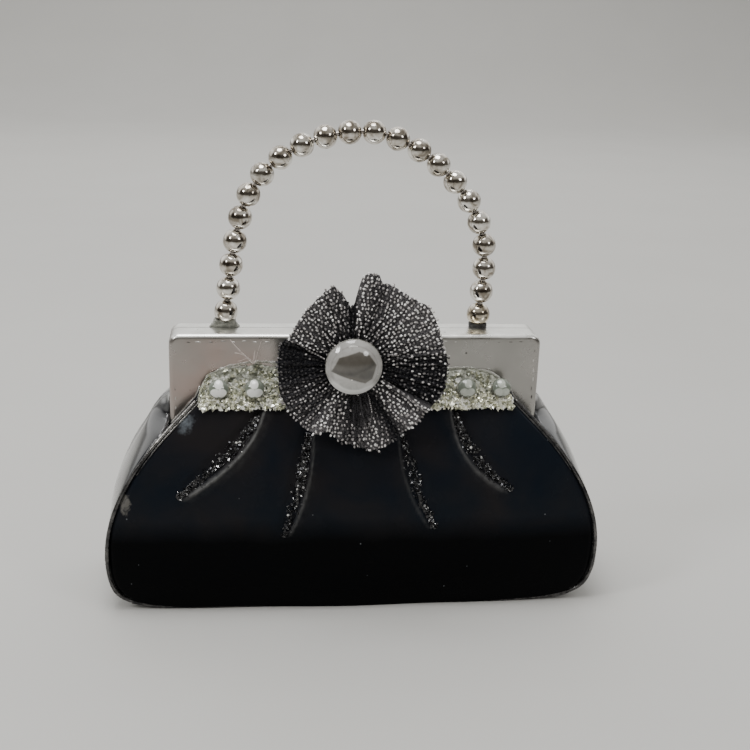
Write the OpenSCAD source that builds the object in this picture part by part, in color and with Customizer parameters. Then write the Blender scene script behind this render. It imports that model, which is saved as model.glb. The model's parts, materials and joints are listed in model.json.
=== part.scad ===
// Evening bag: a stiff patent pouch hung in a hinged silver frame, closed by a
// kiss lock, with a bead-strung wire handle and a mesh rosette on the front.
// Millimetres. X runs across the bag, -Y is its front, +Z is up, and the origin
// is the middle of the underside, on the surface that the bag stands on.

/* [Pouch] */
// Greatest width of the pouch, low on its sides
pouch_w = 162; // [158:1:166]
// Width of the front panel along its top edge
panel_top_w = 100; // [96:1:104]
// Half the depth of the pouch at the floor
base_half_d = 19.5; // [18.5:0.5:21]
// Thickness of the patent skin
skin_t = 1.2; // [1:0.1:1.3]
// Width of the silver edging round the front and rear panels
rim_w = 0.8; // [0.5:0.1:1]
// Thickness of the lining cloth with its backing
lining_t = 0.6; // [0.5:0.1:0.8]
// Thickness of the board that stiffens the base
board_t = 1; // [0.8:0.1:1.1]

/* [Frame] */
// Width of the silver frame
frame_w = 121; // [118:1:121]
// Height of the top of the frame above the floor
frame_top = 90.2; // [89.6:0.1:90.3]
// Height of the lower edge of the frame
frame_bottom = 60; // [59:0.5:60.5]
// Distance of the frame's front and rear faces from the middle of the bag
frame_half_d = 7.5; // [7:0.5:8]
// Wall of the frame's pressed shells
frame_t = 1; // [0.8:0.1:1.2]
// Radius of the frame's top corners, seen from the front
corner_r = 3.5; // [3:0.5:6]
// Radius of the shells' long edges
edge_r = 1.6; // [1.5:0.1:2.5]
// Distance behind the middle at which the front and rear shells part
parting_y = 1; // [0.5:0.5:1.5]
// Gap between the two shells when they are shut
parting_gap = 0.3; // [0.2:0.05:0.4]

/* [Hinge] */
// Height of the hinge rivets
pivot_z = 61.5; // [61:0.25:62]
// Diameter of a rivet's shank
rivet_d = 2.4; // [2:0.1:2.6]
// Radial clearance between a rivet and the shell that turns on it
hinge_play = 0.05; // [0.03:0.01:0.08]
// Radius of the hinge ears
ear_r = 3.2; // [3:0.1:3.4]

/* [Kiss lock] */
// Diameter of each clasp ball
ball_d = 4.8; // [4:0.2:5]
// Distance of each ball to the side of the middle
ball_x = 2.7; // [2.6:0.1:3]

/* [Handle] */
// Diameter of a bead
bead_d = 7.7; // [7.2:0.1:7.7]
// Number of beads
bead_count = 22; // [22]
// Diameter of the handle wire
wire_d = 1.6; // [1.2:0.1:1.8]
// Diameter of the bore through each bead
bead_bore_d = 2.4; // [2.3:0.1:2.6]
// Distance of the handle behind the middle of the bag
handle_y = 3.6; // [3.5:0.05:3.7]

/* [Flower] */
// Centre of the rosette across the bag
flower_x = -2.7; // [-4:0.1:0]
// Height of the centre of the rosette
flower_z = 84.4; // [82:0.1:85]
// Radius of the mesh rosette
flower_r = 28; // [26:0.5:29]
// Diameter of the clear cabochon
cabochon_d = 18; // [16:0.5:19]

/* [Trim] */
// Diameter of a gem on the glitter band
gem_d = 6; // [5:0.5:6.5]
// Number of gems on the glitter band
gem_count = 9; // [7:1:9]
// Widest part of a glitter pleat
pleat_w = 4.6; // [3.5:0.1:5]

/* [Hidden] */
$fn = 64;
BEADS = [for (i = [1:bead_count]) str("bead_", i)];

far = 40;                                  // beyond the bag, front or back
half_w = pouch_w / 2;
panel_h = 76;                              // top edge of the front and rear panels
lap_z = 61.5;                              // top edge of the fixed part of the rear panel
join_x = 64;                               // where the base panel meets the gussets
frame_in_x = frame_w / 2 - frame_t;
ear_t = 1.2;
ear_gap = 0.15;
ear_out_x = frame_in_x - ear_gap;
flange_z = frame_top - frame_t;
front_edge_y = parting_y - parting_gap / 2;
rear_edge_y = parting_y + parting_gap / 2;
front_post_y = -1.5;                       // feet of the kiss lock's two stems
rear_post_y = 3.4;

// ---- curves ---------------------------------------------------------------

function bez(p, t) = pow(1 - t, 3) * p[0] + 3 * t * pow(1 - t, 2) * p[1]
    + 3 * t * t * (1 - t) * p[2] + pow(t, 3) * p[3];
function curve(p, n) = [for (i = [0:n]) bez(p, i / n)];
function after_first(v) = [for (i = [1:len(v) - 1]) v[i]];
function reversed(v) = [for (i = [len(v) - 1:-1:0]) v[i]];
function unit(v) = v / norm(v);

// The left half of an outline from its right half, bottom to top
function with_mirror(right) = concat(right, [for (p = reversed(right)) [-p[0], p[1]]]);

// A closed outline moved inwards by d, with mitred corners
function inset(v, d) = [for (i = [0:len(v) - 1])
    let (n = len(v), before = unit(v[i] - v[(i + n - 1) % n]), next = unit(v[(i + 1) % n] - v[i]),
        along = unit(before + next))
    v[i] + d / (along * before) * [-along[1], along[0]]];

// Front view of the pouch: a rounded heel, a full belly and shoulders drawn in
heel = [[half_w - 29, 0], [half_w - 3, 0], [half_w, 5], [half_w, 20]];
shoulder = [[half_w, 20], [half_w, 36], [half_w - 9, 50], [half_w - 20.5, 61.5]];
panel_outline = with_mirror(concat(curve(heel, 8), after_first(curve(shoulder, 8)),
    [[panel_top_w / 2 + 2.3, 69.5], [panel_top_w / 2, panel_h]]));
// The gussets stand a little fuller than the panels at the shoulders
gusset_side = [[half_w, 20], [half_w, 36], [half_w - 6.5, 50], [half_w - 18.5, 66.5]];
gusset_outline = with_mirror(concat(curve(heel, 8), after_first(curve(gusset_side, 8))));

// Side view: half the depth of the pouch against height, an A with a full belly
depth_curve = curve([[base_half_d, 0], [base_half_d + 7, 16], [23.5, 50], [9.5, panel_h]], 14);

// ---- building blocks ------------------------------------------------------

// A (y, z) shape run along X, and an (x, z) shape run along Y
module across(x0, x1) translate([x0, 0, 0]) rotate([90, 0, 90]) linear_extrude(x1 - x0) children();
module through(y0, y1) translate([0, y1, 0]) rotate([90, 0, 0]) linear_extrude(y1 - y0) children();

// A skin that follows the side curve, between two depths below it, on one face (-1 front, 1 rear)
module skin(face, t0, t1)
    across(-half_w - 2, half_w + 2)
        polygon(concat([for (p = depth_curve) [face * (p[0] - t0), p[1]]],
            [for (p = reversed(depth_curve)) [face * (p[0] - t1), p[1]]]));

// Everything between the front and rear skins, t inside the side curve
module between_skins(t)
    across(-half_w - 2, half_w + 2)
        polygon(concat([for (p = depth_curve) [p[0] - t, p[1]]],
            [for (p = reversed(depth_curve)) [t - p[0], p[1]]]));

// A wall that follows an outline, between two depths inside it
module wall(outline, t0, t1)
    through(-far, far)
        difference() {
            polygon(inset(outline, t0));
            polygon(inset(outline, t1));
        }

module below(z) translate([-half_w - 5, -far - 1, -1]) cube([pouch_w + 10, 2 * far + 2, z + 1]);
module x_range(x0, x1) translate([x0, -far - 1, -1]) cube([x1 - x0, 2 * far + 2, 200]);

// A rod between two points
module rod(a, b, r) {
    v = b - a;
    translate(a) rotate([0, acos(v[2] / norm(v)), atan2(v[1], v[0])]) cylinder(r = r, h = norm(v));
}

// ---- frame ----------------------------------------------------------------

// Front view of the frame, inset by t, with round top corners
module frame_front_shape(t) {
    r = corner_r - t;
    w = frame_w / 2 - t;
    low = frame_bottom - (t > 0 ? 1 : 0);
    translate([-w, low]) square([2 * w, frame_top - t - r - low]);
    translate([r - w, low]) square([2 * (w - r), frame_top - t - low]);
    for (s = [-1, 1]) translate([s * (w - r), frame_top - t - r]) circle(r = r);
}

// Side view of one shell, inset by t, open at the parting face and with a round top edge
module frame_side_shape(depth, t) {
    r = edge_r - t;
    low = frame_bottom - (t > 0 ? 1 : 0);
    extra = t > 0 ? 1 : 0;
    translate([t, low]) square([depth - t + extra, frame_top - t - r - low]);
    translate([t + r, low]) square([depth - t - r + extra, frame_top - t - low]);
    translate([t + r, frame_top - t - r]) circle(r = r);
}

// Plan of one shell, inset by t, with round outer corners
module frame_plan_shape(depth, t) {
    r = edge_r - t;
    w = frame_w / 2 - t;
    extra = t > 0 ? 1 : 0;
    translate([-w, t + r]) square([2 * w, depth - t - r + extra]);
    translate([r - w, t]) square([2 * (w - r), depth - t + extra]);
    for (s = [-1, 1]) translate([s * (w - r), t + r]) circle(r = r);
}

module frame_solid(depth, t)
    intersection() {
        through(-1, depth + 2) frame_front_shape(t);
        across(-frame_w / 2 - 1, frame_w / 2 + 1) frame_side_shape(depth, t);
        translate([0, 0, frame_bottom - 2]) linear_extrude(frame_top) frame_plan_shape(depth, t);
    }

// A pressed half shell with its face at y = 0 and its mouth towards +Y
module frame_half(depth)
    difference() {
        frame_solid(depth, 0);
        frame_solid(depth, frame_t);
    }

module on_pivot(x, r, h) translate([x, parting_y, pivot_z]) rotate([0, 90, 0]) cylinder(r = r, h = h);

module front_frame()
    color([0.80, 0.79, 0.77])
        difference() {
            union() {
                difference() {
                    translate([0, -frame_half_d, 0]) frame_half(front_edge_y + frame_half_d);
                    // room for the rear shell's ears
                    for (s = [-1, 1]) on_pivot(s * (frame_in_x + 0.5) - 1.1, ear_r + 0.3, 2.2);
                }
                // inner ears, set in from the flanges and joined to them by a pad
                for (s = [-1, 1]) {
                    x = s > 0 ? ear_out_x - ear_t : -ear_out_x;
                    on_pivot(x, ear_r, ear_t);
                    translate([x, -frame_half_d + 0.5, pivot_z - ear_r])
                        cube([ear_t, frame_half_d - 0.5 + parting_y, 2 * ear_r]);
                    translate([s * (frame_in_x - 0.1) - 0.3, -frame_half_d + 0.5, frame_bottom])
                        cube([0.6, 4, 4]);
                }
            }
            for (s = [-1, 1]) on_pivot(s * frame_in_x - 3, rivet_d / 2 + 0.02, 6);
            // kiss lock post and flower stud
            translate([-ball_x, front_post_y, flange_z - 1]) cylinder(r = 0.85, h = 3);
            translate([flower_x, -frame_half_d - 1, flower_z]) rotate([-90, 0, 0])
                cylinder(r = 1.6, h = 3);
        }

module rear_frame()
    color([0.80, 0.79, 0.77])
        difference() {
            union() {
                translate([0, frame_half_d, 0]) mirror([0, 1, 0]) frame_half(frame_half_d - rear_edge_y);
                for (s = [-1, 1]) on_pivot(s > 0 ? frame_in_x : -frame_w / 2, ear_r, frame_t);
            }
            for (s = [-1, 1]) on_pivot(s * frame_in_x - 3, rivet_d / 2 + hinge_play, 6);
            translate([ball_x, rear_post_y, flange_z - 1]) cylinder(r = 0.85, h = 3);
            for (x = [wire_route[0][0], wire_route[len(wire_route) - 1][0]])
                translate([x, handle_y, flange_z - 1]) cylinder(r = wire_d / 2 + 0.1, h = 3);
        }

// One rivet on each side: shank through both ears, a thin head outside and a peened end inside
module hinge_rivets()
    color([0.72, 0.71, 0.69])
        for (s = [0, 1]) mirror([s, 0, 0]) {
            on_pivot(ear_out_x - ear_t - 0.45, rivet_d / 2, frame_w / 2 + 0.5 - ear_out_x + ear_t + 0.45);
            on_pivot(frame_w / 2 + 0.05, 2.2, 0.45);
            on_pivot(ear_out_x - ear_t - 0.5, 2, 0.5);
        }

// A ball on a leaning stem, riveted through the top flange
module kiss_lock(x, foot_y, ball_y) {
    foot = [x, foot_y, frame_top];
    tip = [x, ball_y, frame_top + 5.5];
    translate(foot - [0, 0, frame_t]) cylinder(r = 0.8, h = frame_t + 0.5);
    translate(foot) cylinder(r = 1.6, h = 0.8);
    translate(foot - [0, 0, frame_t + 0.7]) cylinder(r = 1.5, h = 0.7);
    rod(foot + [0, 0, 0.4], tip, 0.9);
    translate(tip) sphere(d = ball_d);
}

module kiss_lock_front() color([0.85, 0.84, 0.82]) kiss_lock(-ball_x, front_post_y, 0.6);
module kiss_lock_rear() color([0.85, 0.84, 0.82]) kiss_lock(ball_x, rear_post_y, 1.4);

// ---- handle ---------------------------------------------------------------

wire_low_z = 86.2;
// The wire's line, in (x, z): up the left leg, over the arch and down the right leg
wire_route = concat(
    [[-42.8, wire_low_z]],
    curve([[-42.8, 90.7], [-41.2, 108.5], [-40, 116.8], [-37.6, 126.5]], 12),
    after_first(curve([[-37.6, 126.5], [-33, 145.1], [-14, 153.6], [2, 153.6]], 14)),
    after_first(curve([[2, 153.6], [17, 153.6], [40, 136], [42, 116]], 14)),
    after_first(curve([[42, 116], [42.6, 107], [41.2, 99.5], [41, 90.7]], 12)),
    [[41, wire_low_z]]);
route_s = [for (i = 0, s = 0; i < len(wire_route);
    s = s + (i + 1 < len(wire_route) ? norm(wire_route[i + 1] - wire_route[i]) : 0), i = i + 1) s];
route_x = [for (i = [0:len(wire_route) - 1]) [route_s[i], wire_route[i][0]]];
route_z = [for (i = [0:len(wire_route) - 1]) [route_s[i], wire_route[i][1]]];
// Middles of the first and last beads along the wire
first_s = 8.75;
last_s = route_s[len(route_s) - 1] - 8.1;
function along_wire(s) = [lookup(s, route_x), lookup(s, route_z)];
function wire_turn(s) = let (d = along_wire(s + 2) - along_wire(s - 2)) atan2(d[0], d[1]);

module handle_wire() {
    sides = 8;
    last = len(wire_route) - 1;
    rings = [for (i = [0:last])
        let (d = unit(wire_route[min(i + 1, last)] - wire_route[max(i - 1, 0)]), c = wire_route[i])
        for (k = [0:sides - 1])
            let (u = cos(360 * k / sides) * wire_d / 2, v = sin(360 * k / sides) * wire_d / 2)
            [c[0] - u * d[1], handle_y + v, c[1] + u * d[0]]];
    faces = concat(
        [[for (k = [0:sides - 1]) k]],
        [for (i = [0:last - 1]) for (k = [0:sides - 1])
            [i * sides + k, (i + 1) * sides + k, (i + 1) * sides + (k + 1) % sides, i * sides + (k + 1) % sides]],
        [[for (k = [sides - 1:-1:0]) last * sides + k]]);
    color([0.55, 0.54, 0.52]) polyhedron(rings, faces, convexity = 6);
}

// Feet of the handle: each is bedded under an end bead and hollowed to fit it
module handle_foot(x, bead_s, low_r, high_r, h)
    difference() {
        intersection() {
            translate([x, handle_y, frame_top]) cylinder(r1 = low_r, r2 = high_r, h = h);
            translate([x - 6, handle_y - 2.4, frame_top]) cube([12, 4.8, h]);
        }
        translate([along_wire(bead_s)[0], handle_y, along_wire(bead_s)[1]]) sphere(d = bead_d + 0.2);
        translate([x, handle_y, frame_top - 1]) cylinder(r = wire_d / 2 + 0.3, h = h + 2);
    }
module handle_collar_left() color([0.45, 0.45, 0.44]) handle_foot(-42.75, first_s, 4.6, 3.9, 2.2);
module handle_collar_right() color([0.3, 0.3, 0.3]) handle_foot(41.05, last_s, 3.1, 3.1, 1.3);

// Shouldered hexagon nuts that hold the wire's ends under the top flange
module handle_nuts()
    color([0.7, 0.7, 0.7])
        for (x = [-42.8, 41]) translate([x, handle_y, wire_low_z + 0.2])
            difference() {
                union() {
                    cylinder(r = 2, h = 1.7, $fn = 6);
                    cylinder(r = 1.3, h = flange_z - wire_low_z - 0.25);
                }
                translate([0, 0, -1]) cylinder(r = wire_d / 2 + 0.02, h = 5);
            }

module bead(i) {
    s = first_s + (last_s - first_s) * (i - 1) / (bead_count - 1);
    at = along_wire(s);
    color([0.78, 0.77, 0.74])
        translate([at[0], handle_y, at[1]])
            rotate([0, wire_turn(s), 0])
                difference() {
                    sphere(d = bead_d);
                    cylinder(d = bead_bore_d, h = bead_d + 2, center = true);
                }
}

// ---- pouch ----------------------------------------------------------------

module front_panel()
    color([0.02, 0.02, 0.025])
        intersection() {
            skin(-1, 0, skin_t);
            through(-far, 0) polygon(inset(panel_outline, rim_w));
        }

// Edging that binds a panel to the gussets and the base
module rim(face, top)
    intersection() {
        skin(face, -0.3, skin_t + 0.3);
        wall(panel_outline, 0, rim_w);
        below(top);
    }
module front_rim() color([0.62, 0.61, 0.58]) rim(-1, 69);
module rear_rim() color([0.62, 0.61, 0.58]) rim(1, lap_z);

// Battens that fill the wedge between a panel and the frame where the panel is fixed
module front_stiffener()
    color([0.35, 0.3, 0.25])
        across(-46, 46) polygon([[-7.5, 66.5], [-7.5, 74.5], [-8.9, 74.5], [-12.4, 66.5]]);
module rear_stiffener()
    color([0.35, 0.3, 0.25])
        across(-46, 46) polygon([[7.5, 67], [10.5, 67], [8.7, 71.9], [7.85, 75], [7.5, 75]]);

module rear_panel()
    color([0.02, 0.02, 0.025])
        intersection() {
            skin(1, 0, skin_t);
            through(0, far) polygon(inset(panel_outline, rim_w));
            below(lap_z);
        }

// The part of the rear panel that swings with the rear shell; it laps inside the fixed part
yoke_curve = [[14, 60.5], [13, 64.5], [11.4, 68.5], [9.9, 72], [8.9, panel_h]];
module rear_yoke()
    color([0.02, 0.02, 0.025])
        intersection() {
            across(-60, 60)
                polygon(concat(yoke_curve, [for (p = reversed(yoke_curve)) p - [1, 0]]));
            through(0, far) polygon(inset(panel_outline, 3));
        }

module gusset(x0, x1)
    intersection() {
        between_skins(skin_t + 0.3);
        wall(gusset_outline, 0, skin_t);
        below(64);
        x_range(x0, x1);
    }
module gusset_left() color([0.10, 0.10, 0.11]) gusset(-half_w - 2, -join_x + 2.5);
module gusset_right() color([0.10, 0.10, 0.11]) gusset(join_x - 2.5, half_w + 2);

module base_panel()
    color([0.03, 0.03, 0.03])
        intersection() {
            between_skins(skin_t + 0.3);
            wall(gusset_outline, 0, skin_t);
            below(10);
            x_range(-join_x + 2.5, join_x - 2.5);
        }

module base_board()
    color([0.5, 0.42, 0.3])
        translate([0, 0, skin_t])
            linear_extrude(board_t) {
                square([96, 34], center = true);
                square([102, 28], center = true);
                for (sx = [-1, 1]) for (sy = [-1, 1]) translate([48 * sx, 14 * sy]) circle(r = 3);
            }

lining_in = skin_t + board_t + 0.1;
module lining_front()
    color([0.55, 0.53, 0.50])
        intersection() {
            skin(-1, skin_t + 0.1, skin_t + 0.1 + lining_t);
            through(-far, 0) polygon(inset(panel_outline, lining_in + lining_t + 0.1));
            below(65);
        }
module lining_rear()
    color([0.55, 0.53, 0.50])
        intersection() {
            skin(1, skin_t + 0.1, skin_t + 0.1 + lining_t);
            through(0, far) polygon(inset(panel_outline, lining_in + lining_t + 0.1));
            below(54);
        }
module lining_wall(x0, x1)
    intersection() {
        between_skins(skin_t + 0.4);
        wall(gusset_outline, lining_in, lining_in + lining_t);
        below(57);
        x_range(x0, x1);
    }
module lining_left() color([0.55, 0.53, 0.50]) lining_wall(-half_w, -60);
module lining_right() color([0.55, 0.53, 0.50]) lining_wall(60, half_w);
module lining_base() color([0.55, 0.53, 0.50]) intersection() { lining_wall(-60, 60); below(8); }

// ---- trim -----------------------------------------------------------------

band_low_z = 67.2;
band_t = 2.2;
band_left_x = -50.5;
band_right_x = 50.5;
module glitter_band()
    color([0.78, 0.75, 0.62]) {
        intersection() {
            skin(-1, -band_t, -0.05);
            through(-far, 0)
                polygon([[band_left_x, band_low_z], [band_right_x, band_low_z], [band_right_x, panel_h],
                    [band_left_x + 2, panel_h]]);
        }
        translate([band_left_x + 3, -9.5 - band_t, 75.4])
            cube([band_right_x - band_left_x - 6, 9.5 + band_t - frame_half_d - 0.1, 3]);
    }

gem_z = 74.2;
gem_y = -13.1;
gem_tilt = 26;                             // the band leans back by this much
gem_first_x = -44.7;
gem_last_x = 46.9;
module band_gems()
    color([0.93, 0.95, 0.92])
        for (i = [0:gem_count - 1])
            translate([gem_first_x + i * (gem_last_x - gem_first_x) / (gem_count - 1), gem_y, gem_z])
                rotate([90 - gem_tilt, 0, 0]) dome(gem_d / 2, 0.6, 1.1);

// A round stone: a short cylinder under a spherical cap, its back at z = 0
module dome(r, girdle, rise) {
    ball_r = (r * r + rise * rise) / (2 * rise);
    cylinder(r = r, h = girdle);
    intersection() {
        translate([0, 0, girdle + rise - ball_r]) sphere(r = ball_r, $fn = 96);
        translate([0, 0, girdle / 2]) cylinder(r = r, h = rise + girdle);
    }
}

// Four curved pleats fan out below the rosette; each valley holds a strip of black glitter
pleat_lines = [
    [[-32, 66], [-36, 57.5], [-45, 50], [-58, 40]],
    [[-16, 60], [-17.5, 50], [-19.5, 40], [-24, 27]],
    [[14.5, 60], [16.5, 49], [20, 39.5], [25.5, 29]],
    [[32, 66], [34, 57], [40, 48], [51, 41.5]]];
module pleat_glitter(line) {
    steps = 10;
    mid = curve(line, steps);
    side = [for (i = [0:steps])
        let (d = unit(mid[min(i + 1, steps)] - mid[max(i - 1, 0)]),
            w = pleat_w / 2 * (0.45 + 0.55 * sin(180 * i / steps)))
        w * [-d[1], d[0]]];
    color([0.07, 0.07, 0.08])
        intersection() {
            skin(-1, -0.5, -0.05);
            through(-far, 0)
                polygon(concat([for (i = [0:steps]) mid[i] + side[i]],
                    [for (i = [steps:-1:0]) mid[i] - side[i]]));
        }
}

// ---- flower ---------------------------------------------------------------

flower_back_y = -19.2;
flower_t = 3.4;
backing_t = 1.3;
stud_pad_t = 0.5;
// A disc or ring that faces the front, from y towards -Y
module facing(y, r, t, hole = 0)
    translate([flower_x, y, flower_z])
        rotate([90, 0, 0])
            difference() {
                cylinder(r = r, h = t);
                if (hole > 0) translate([0, 0, -1]) cylinder(r = hole, h = t + 2);
            }

module flower_spacer() {
    length = -frame_half_d - flower_back_y - backing_t;
    color([0.1, 0.1, 0.1]) facing(-frame_half_d, 3.5, length, 1.6);
}
module flower_backing() color([0.05, 0.05, 0.05]) facing(flower_back_y + backing_t, 13, backing_t, 1.6);
module flower_rosette()
    color([0.16, 0.16, 0.17])
        difference() {
            translate([flower_x + 3.2, flower_back_y, flower_z - 1]) rotate([90, 0, 0])
                cylinder(r = flower_r, h = flower_t);
            facing(flower_back_y + 1, 1.6, flower_t + 2);
            // the open notch between the two top folds
            through(flower_back_y - flower_t - 1, flower_back_y + 1)
                polygon([[-4.5, 101], [-1, 115], [-10, 115]]);
        }
module flower_stud()
    color([0.7, 0.7, 0.7]) {
        facing(frame_t - frame_half_d + 1, 2.2, 1);
        facing(frame_t - frame_half_d + 0.5, 1.5,
            frame_t - frame_half_d + 0.5 - flower_back_y + flower_t + stud_pad_t / 2);
        facing(flower_back_y - flower_t, 7, stud_pad_t);
    }
module flower_cabochon()
    color([0.85, 0.85, 0.83])
        translate([flower_x, flower_back_y - flower_t - stud_pad_t, flower_z])
            rotate([90, 0, 0]) dome(cabochon_d / 2, 0.8, 4);

// ---- nodes ----------------------------------------------------------------

front_frame();
rear_frame();
hinge_rivets();
kiss_lock_front();
kiss_lock_rear();
handle_wire();
handle_collar_left();
handle_collar_right();
handle_nuts();
for (i = [1:bead_count]) bead(i);
front_panel();
front_rim();
front_stiffener();
rear_panel();
rear_rim();
rear_yoke();
rear_stiffener();
gusset_left();
gusset_right();
base_panel();
base_board();
lining_front();
lining_rear();
lining_left();
lining_right();
lining_base();
glitter_band();
band_gems();
pleat_glitter(pleat_lines[0]);  // pleat_glitter_1
pleat_glitter(pleat_lines[1]);  // pleat_glitter_2
pleat_glitter(pleat_lines[2]);  // pleat_glitter_3
pleat_glitter(pleat_lines[3]);  // pleat_glitter_4
flower_spacer();
flower_backing();
flower_rosette();
flower_stud();
flower_cabochon();
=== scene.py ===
"""Looks of the evening bag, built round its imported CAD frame.

Shapes are worked out in millimetres in the part's own frame, and become metres in add_mesh.
X runs across the bag, -Y is its front and +Z is up.
"""

import json
import math

import bmesh
import bpy
import numpy as np
from mathutils import Matrix, Vector


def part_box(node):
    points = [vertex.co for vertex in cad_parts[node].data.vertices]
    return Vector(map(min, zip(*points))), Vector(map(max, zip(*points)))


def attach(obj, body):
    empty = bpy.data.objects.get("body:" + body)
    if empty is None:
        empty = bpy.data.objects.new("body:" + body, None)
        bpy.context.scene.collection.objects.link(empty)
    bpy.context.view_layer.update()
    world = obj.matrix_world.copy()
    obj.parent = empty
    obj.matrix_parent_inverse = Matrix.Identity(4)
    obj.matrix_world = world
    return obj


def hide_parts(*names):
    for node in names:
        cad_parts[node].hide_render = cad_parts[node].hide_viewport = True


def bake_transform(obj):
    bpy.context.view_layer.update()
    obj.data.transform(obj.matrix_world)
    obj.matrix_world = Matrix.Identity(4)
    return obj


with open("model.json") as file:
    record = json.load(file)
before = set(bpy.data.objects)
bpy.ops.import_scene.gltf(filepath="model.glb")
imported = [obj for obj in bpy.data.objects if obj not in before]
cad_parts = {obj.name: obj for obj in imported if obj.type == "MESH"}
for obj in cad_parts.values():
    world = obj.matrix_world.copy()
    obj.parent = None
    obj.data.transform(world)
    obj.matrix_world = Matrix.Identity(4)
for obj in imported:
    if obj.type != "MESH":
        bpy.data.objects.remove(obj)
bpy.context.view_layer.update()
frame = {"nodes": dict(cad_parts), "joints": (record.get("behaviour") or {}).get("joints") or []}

MM = 0.001
ROOT = "root"
REAR = "rear_half"


def box_mm(node):
    low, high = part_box(node)
    return np.array(low) / MM, np.array(high) / MM


# Main sizes, most of them from the CAD frame
half_w = box_mm("front_rim")[1][0]
panel_top = box_mm("front_panel")[1][2]
frame_half_w = box_mm("front_frame")[1][0]
frame_low = box_mm("front_frame")[0][2]
frame_top = box_mm("front_frame")[1][2]
face_y = box_mm("front_frame")[0][1]
back_y = box_mm("rear_frame")[1][1]
hinge = np.array(frame["joints"][0]["pos_m"]) / MM
parting_y = hinge[1]
parting_gap = 0.3
frame_t = 1.0
corner_r = 3.5
edge_r = 1.6
rivet_r = 1.2
# the hinge ears: their radius, and how far inside the rear shell's side the front ones begin and end
ear_r = 3.2
ear_gap = 0.15
ear_depth = 1.35
rosette_back_y = box_mm("flower_rosette")[1][1]
dome_low, dome_high = box_mm("flower_cabochon")
flower = np.array([(dome_low[0] + dome_high[0]) / 2, rosette_back_y, (dome_low[2] + dome_high[2]) / 2])

# ---- curves and surfaces --------------------------------------------------


def curve(points, steps):
    """Points of a cubic Bezier, ends included."""
    t = np.linspace(0, 1, steps + 1)[:, None]
    p = np.array(points, float)
    return (1 - t) ** 3 * p[0] + 3 * t * (1 - t) ** 2 * p[1] + 3 * t**2 * (1 - t) * p[2] + t**3 * p[3]


def smooth(low, high, x):
    """0 at low, 1 at high and an S between them; low may be the larger of the two."""
    t = np.clip((np.asarray(x, float) - low) / (high - low), 0, 1)
    return t * t * (3 - 2 * t)


def resample(line, spacing):
    """The same line with points about that far apart."""
    line = np.asarray(line, float)
    along = np.concatenate([[0], np.cumsum(np.linalg.norm(np.diff(line, axis=0), axis=1))])
    at = np.linspace(0, along[-1], max(2, int(round(along[-1] / spacing)) + 1))
    return np.stack([np.interp(at, along, line[:, k]) for k in range(line.shape[1])], axis=1)


HEEL = curve([(half_w - 29, 0), (half_w - 3, 0), (half_w, 5), (half_w, 20)], 24)
SHOULDER = curve([(half_w, 20), (half_w, 36), (half_w - 9, 50), (half_w - 20.5, 61.5)], 32)
GUSSET_SIDE = curve([(half_w, 20), (half_w, 36), (half_w - 6.5, 50), (half_w - 18.5, 66.5)], 32)
PANEL_OUTLINE = np.concatenate([HEEL, SHOULDER[1:], [(52.3, 69.5), (50, panel_top)]])
DEPTH = curve([(19.5, 0), (26.5, 16), (23.5, 50), (9.5, 76)], 60)


def depth_at(z):
    """Half the depth of the pouch at a height."""
    return np.interp(z, DEPTH[:, 1], DEPTH[:, 0])


def panel_y(x, z):
    """How far the front or rear skin stands from the middle; it is crowned a little in plan."""
    x, z = np.asarray(x, float), np.asarray(z, float)
    crown = 1.9 * (1 - (x / half_w) ** 2) * (1 - smooth(0, panel_top, z)) - 0.5 * (x / half_w) ** 4
    return depth_at(z) + crown


def panel_point(x, z, lift=0.0, face=-1):
    """A point that lift above the front (-1) or rear (1) skin, along its own normal."""
    e = 0.2
    z_low, z_high = np.maximum(z - e, 0), np.minimum(z + e, panel_top)
    dy_dz = (panel_y(x, z_high) - panel_y(x, z_low)) / (z_high - z_low)
    dy_dx = (panel_y(x + e, z) - panel_y(x - e, z)) / (2 * e)
    n = np.stack([-dy_dx, np.ones_like(dy_dz), -dy_dz], -1)
    n /= np.linalg.norm(n, axis=-1, keepdims=True)
    p = np.stack([x, panel_y(x, z), z], -1) + np.asarray(lift)[..., None] * n
    return p * (1, face, 1)


def hashed(*values):
    """A repeatable number from 0 to 1 for each set of values; it frays the net's edge."""
    total = sum(np.sin(np.asarray(v, float) * k) for v, k in zip(values, (12.9898, 78.233, 37.719)))
    return np.modf(np.abs(total * 43758.5453))[0]


def waves(x, z, seed, size, count=7):
    """Soft random unevenness, about -1 to 1, with that wavelength."""
    r = np.random.default_rng(seed)
    total = np.zeros(np.broadcast(x, z).shape)
    for _ in range(count):
        angle, phase, scale = r.uniform(0, math.tau), r.uniform(0, math.tau), r.uniform(0.7, 1.6)
        total += np.sin(math.tau / (size * scale) * (x * math.cos(angle) + z * math.sin(angle)) + phase)
    return total / math.sqrt(count)


# ---- meshes ---------------------------------------------------------------


def add_mesh(name, points, faces, look, smooth_shading=True):
    mesh = bpy.data.meshes.new(name)
    mesh.from_pydata((np.asarray(points, float) * MM).tolist(), [], faces)
    mesh.materials.append(look)
    if smooth_shading:
        mesh.shade_smooth()
    obj = bpy.data.objects.new(name, mesh)
    bpy.context.scene.collection.objects.link(obj)
    return obj


def grid_faces(rows, columns, wrap_columns=False, wrap_rows=False, start=0):
    """Quads over a grid of points kept row by row."""
    faces = []
    for i in range(rows if wrap_rows else rows - 1):
        a, b = start + i * columns, start + ((i + 1) % rows) * columns
        for j in range(columns if wrap_columns else columns - 1):
            k = (j + 1) % columns
            faces.append((a + j, a + k, b + k, b + j))
    return faces


def set_tone(obj, values):
    """A number for each point, that materials read as their tone."""
    tone = obj.data.attributes.new("tone", "FLOAT", "POINT")
    tone.data.foreach_set("value", np.asarray(values, np.float32))


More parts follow.
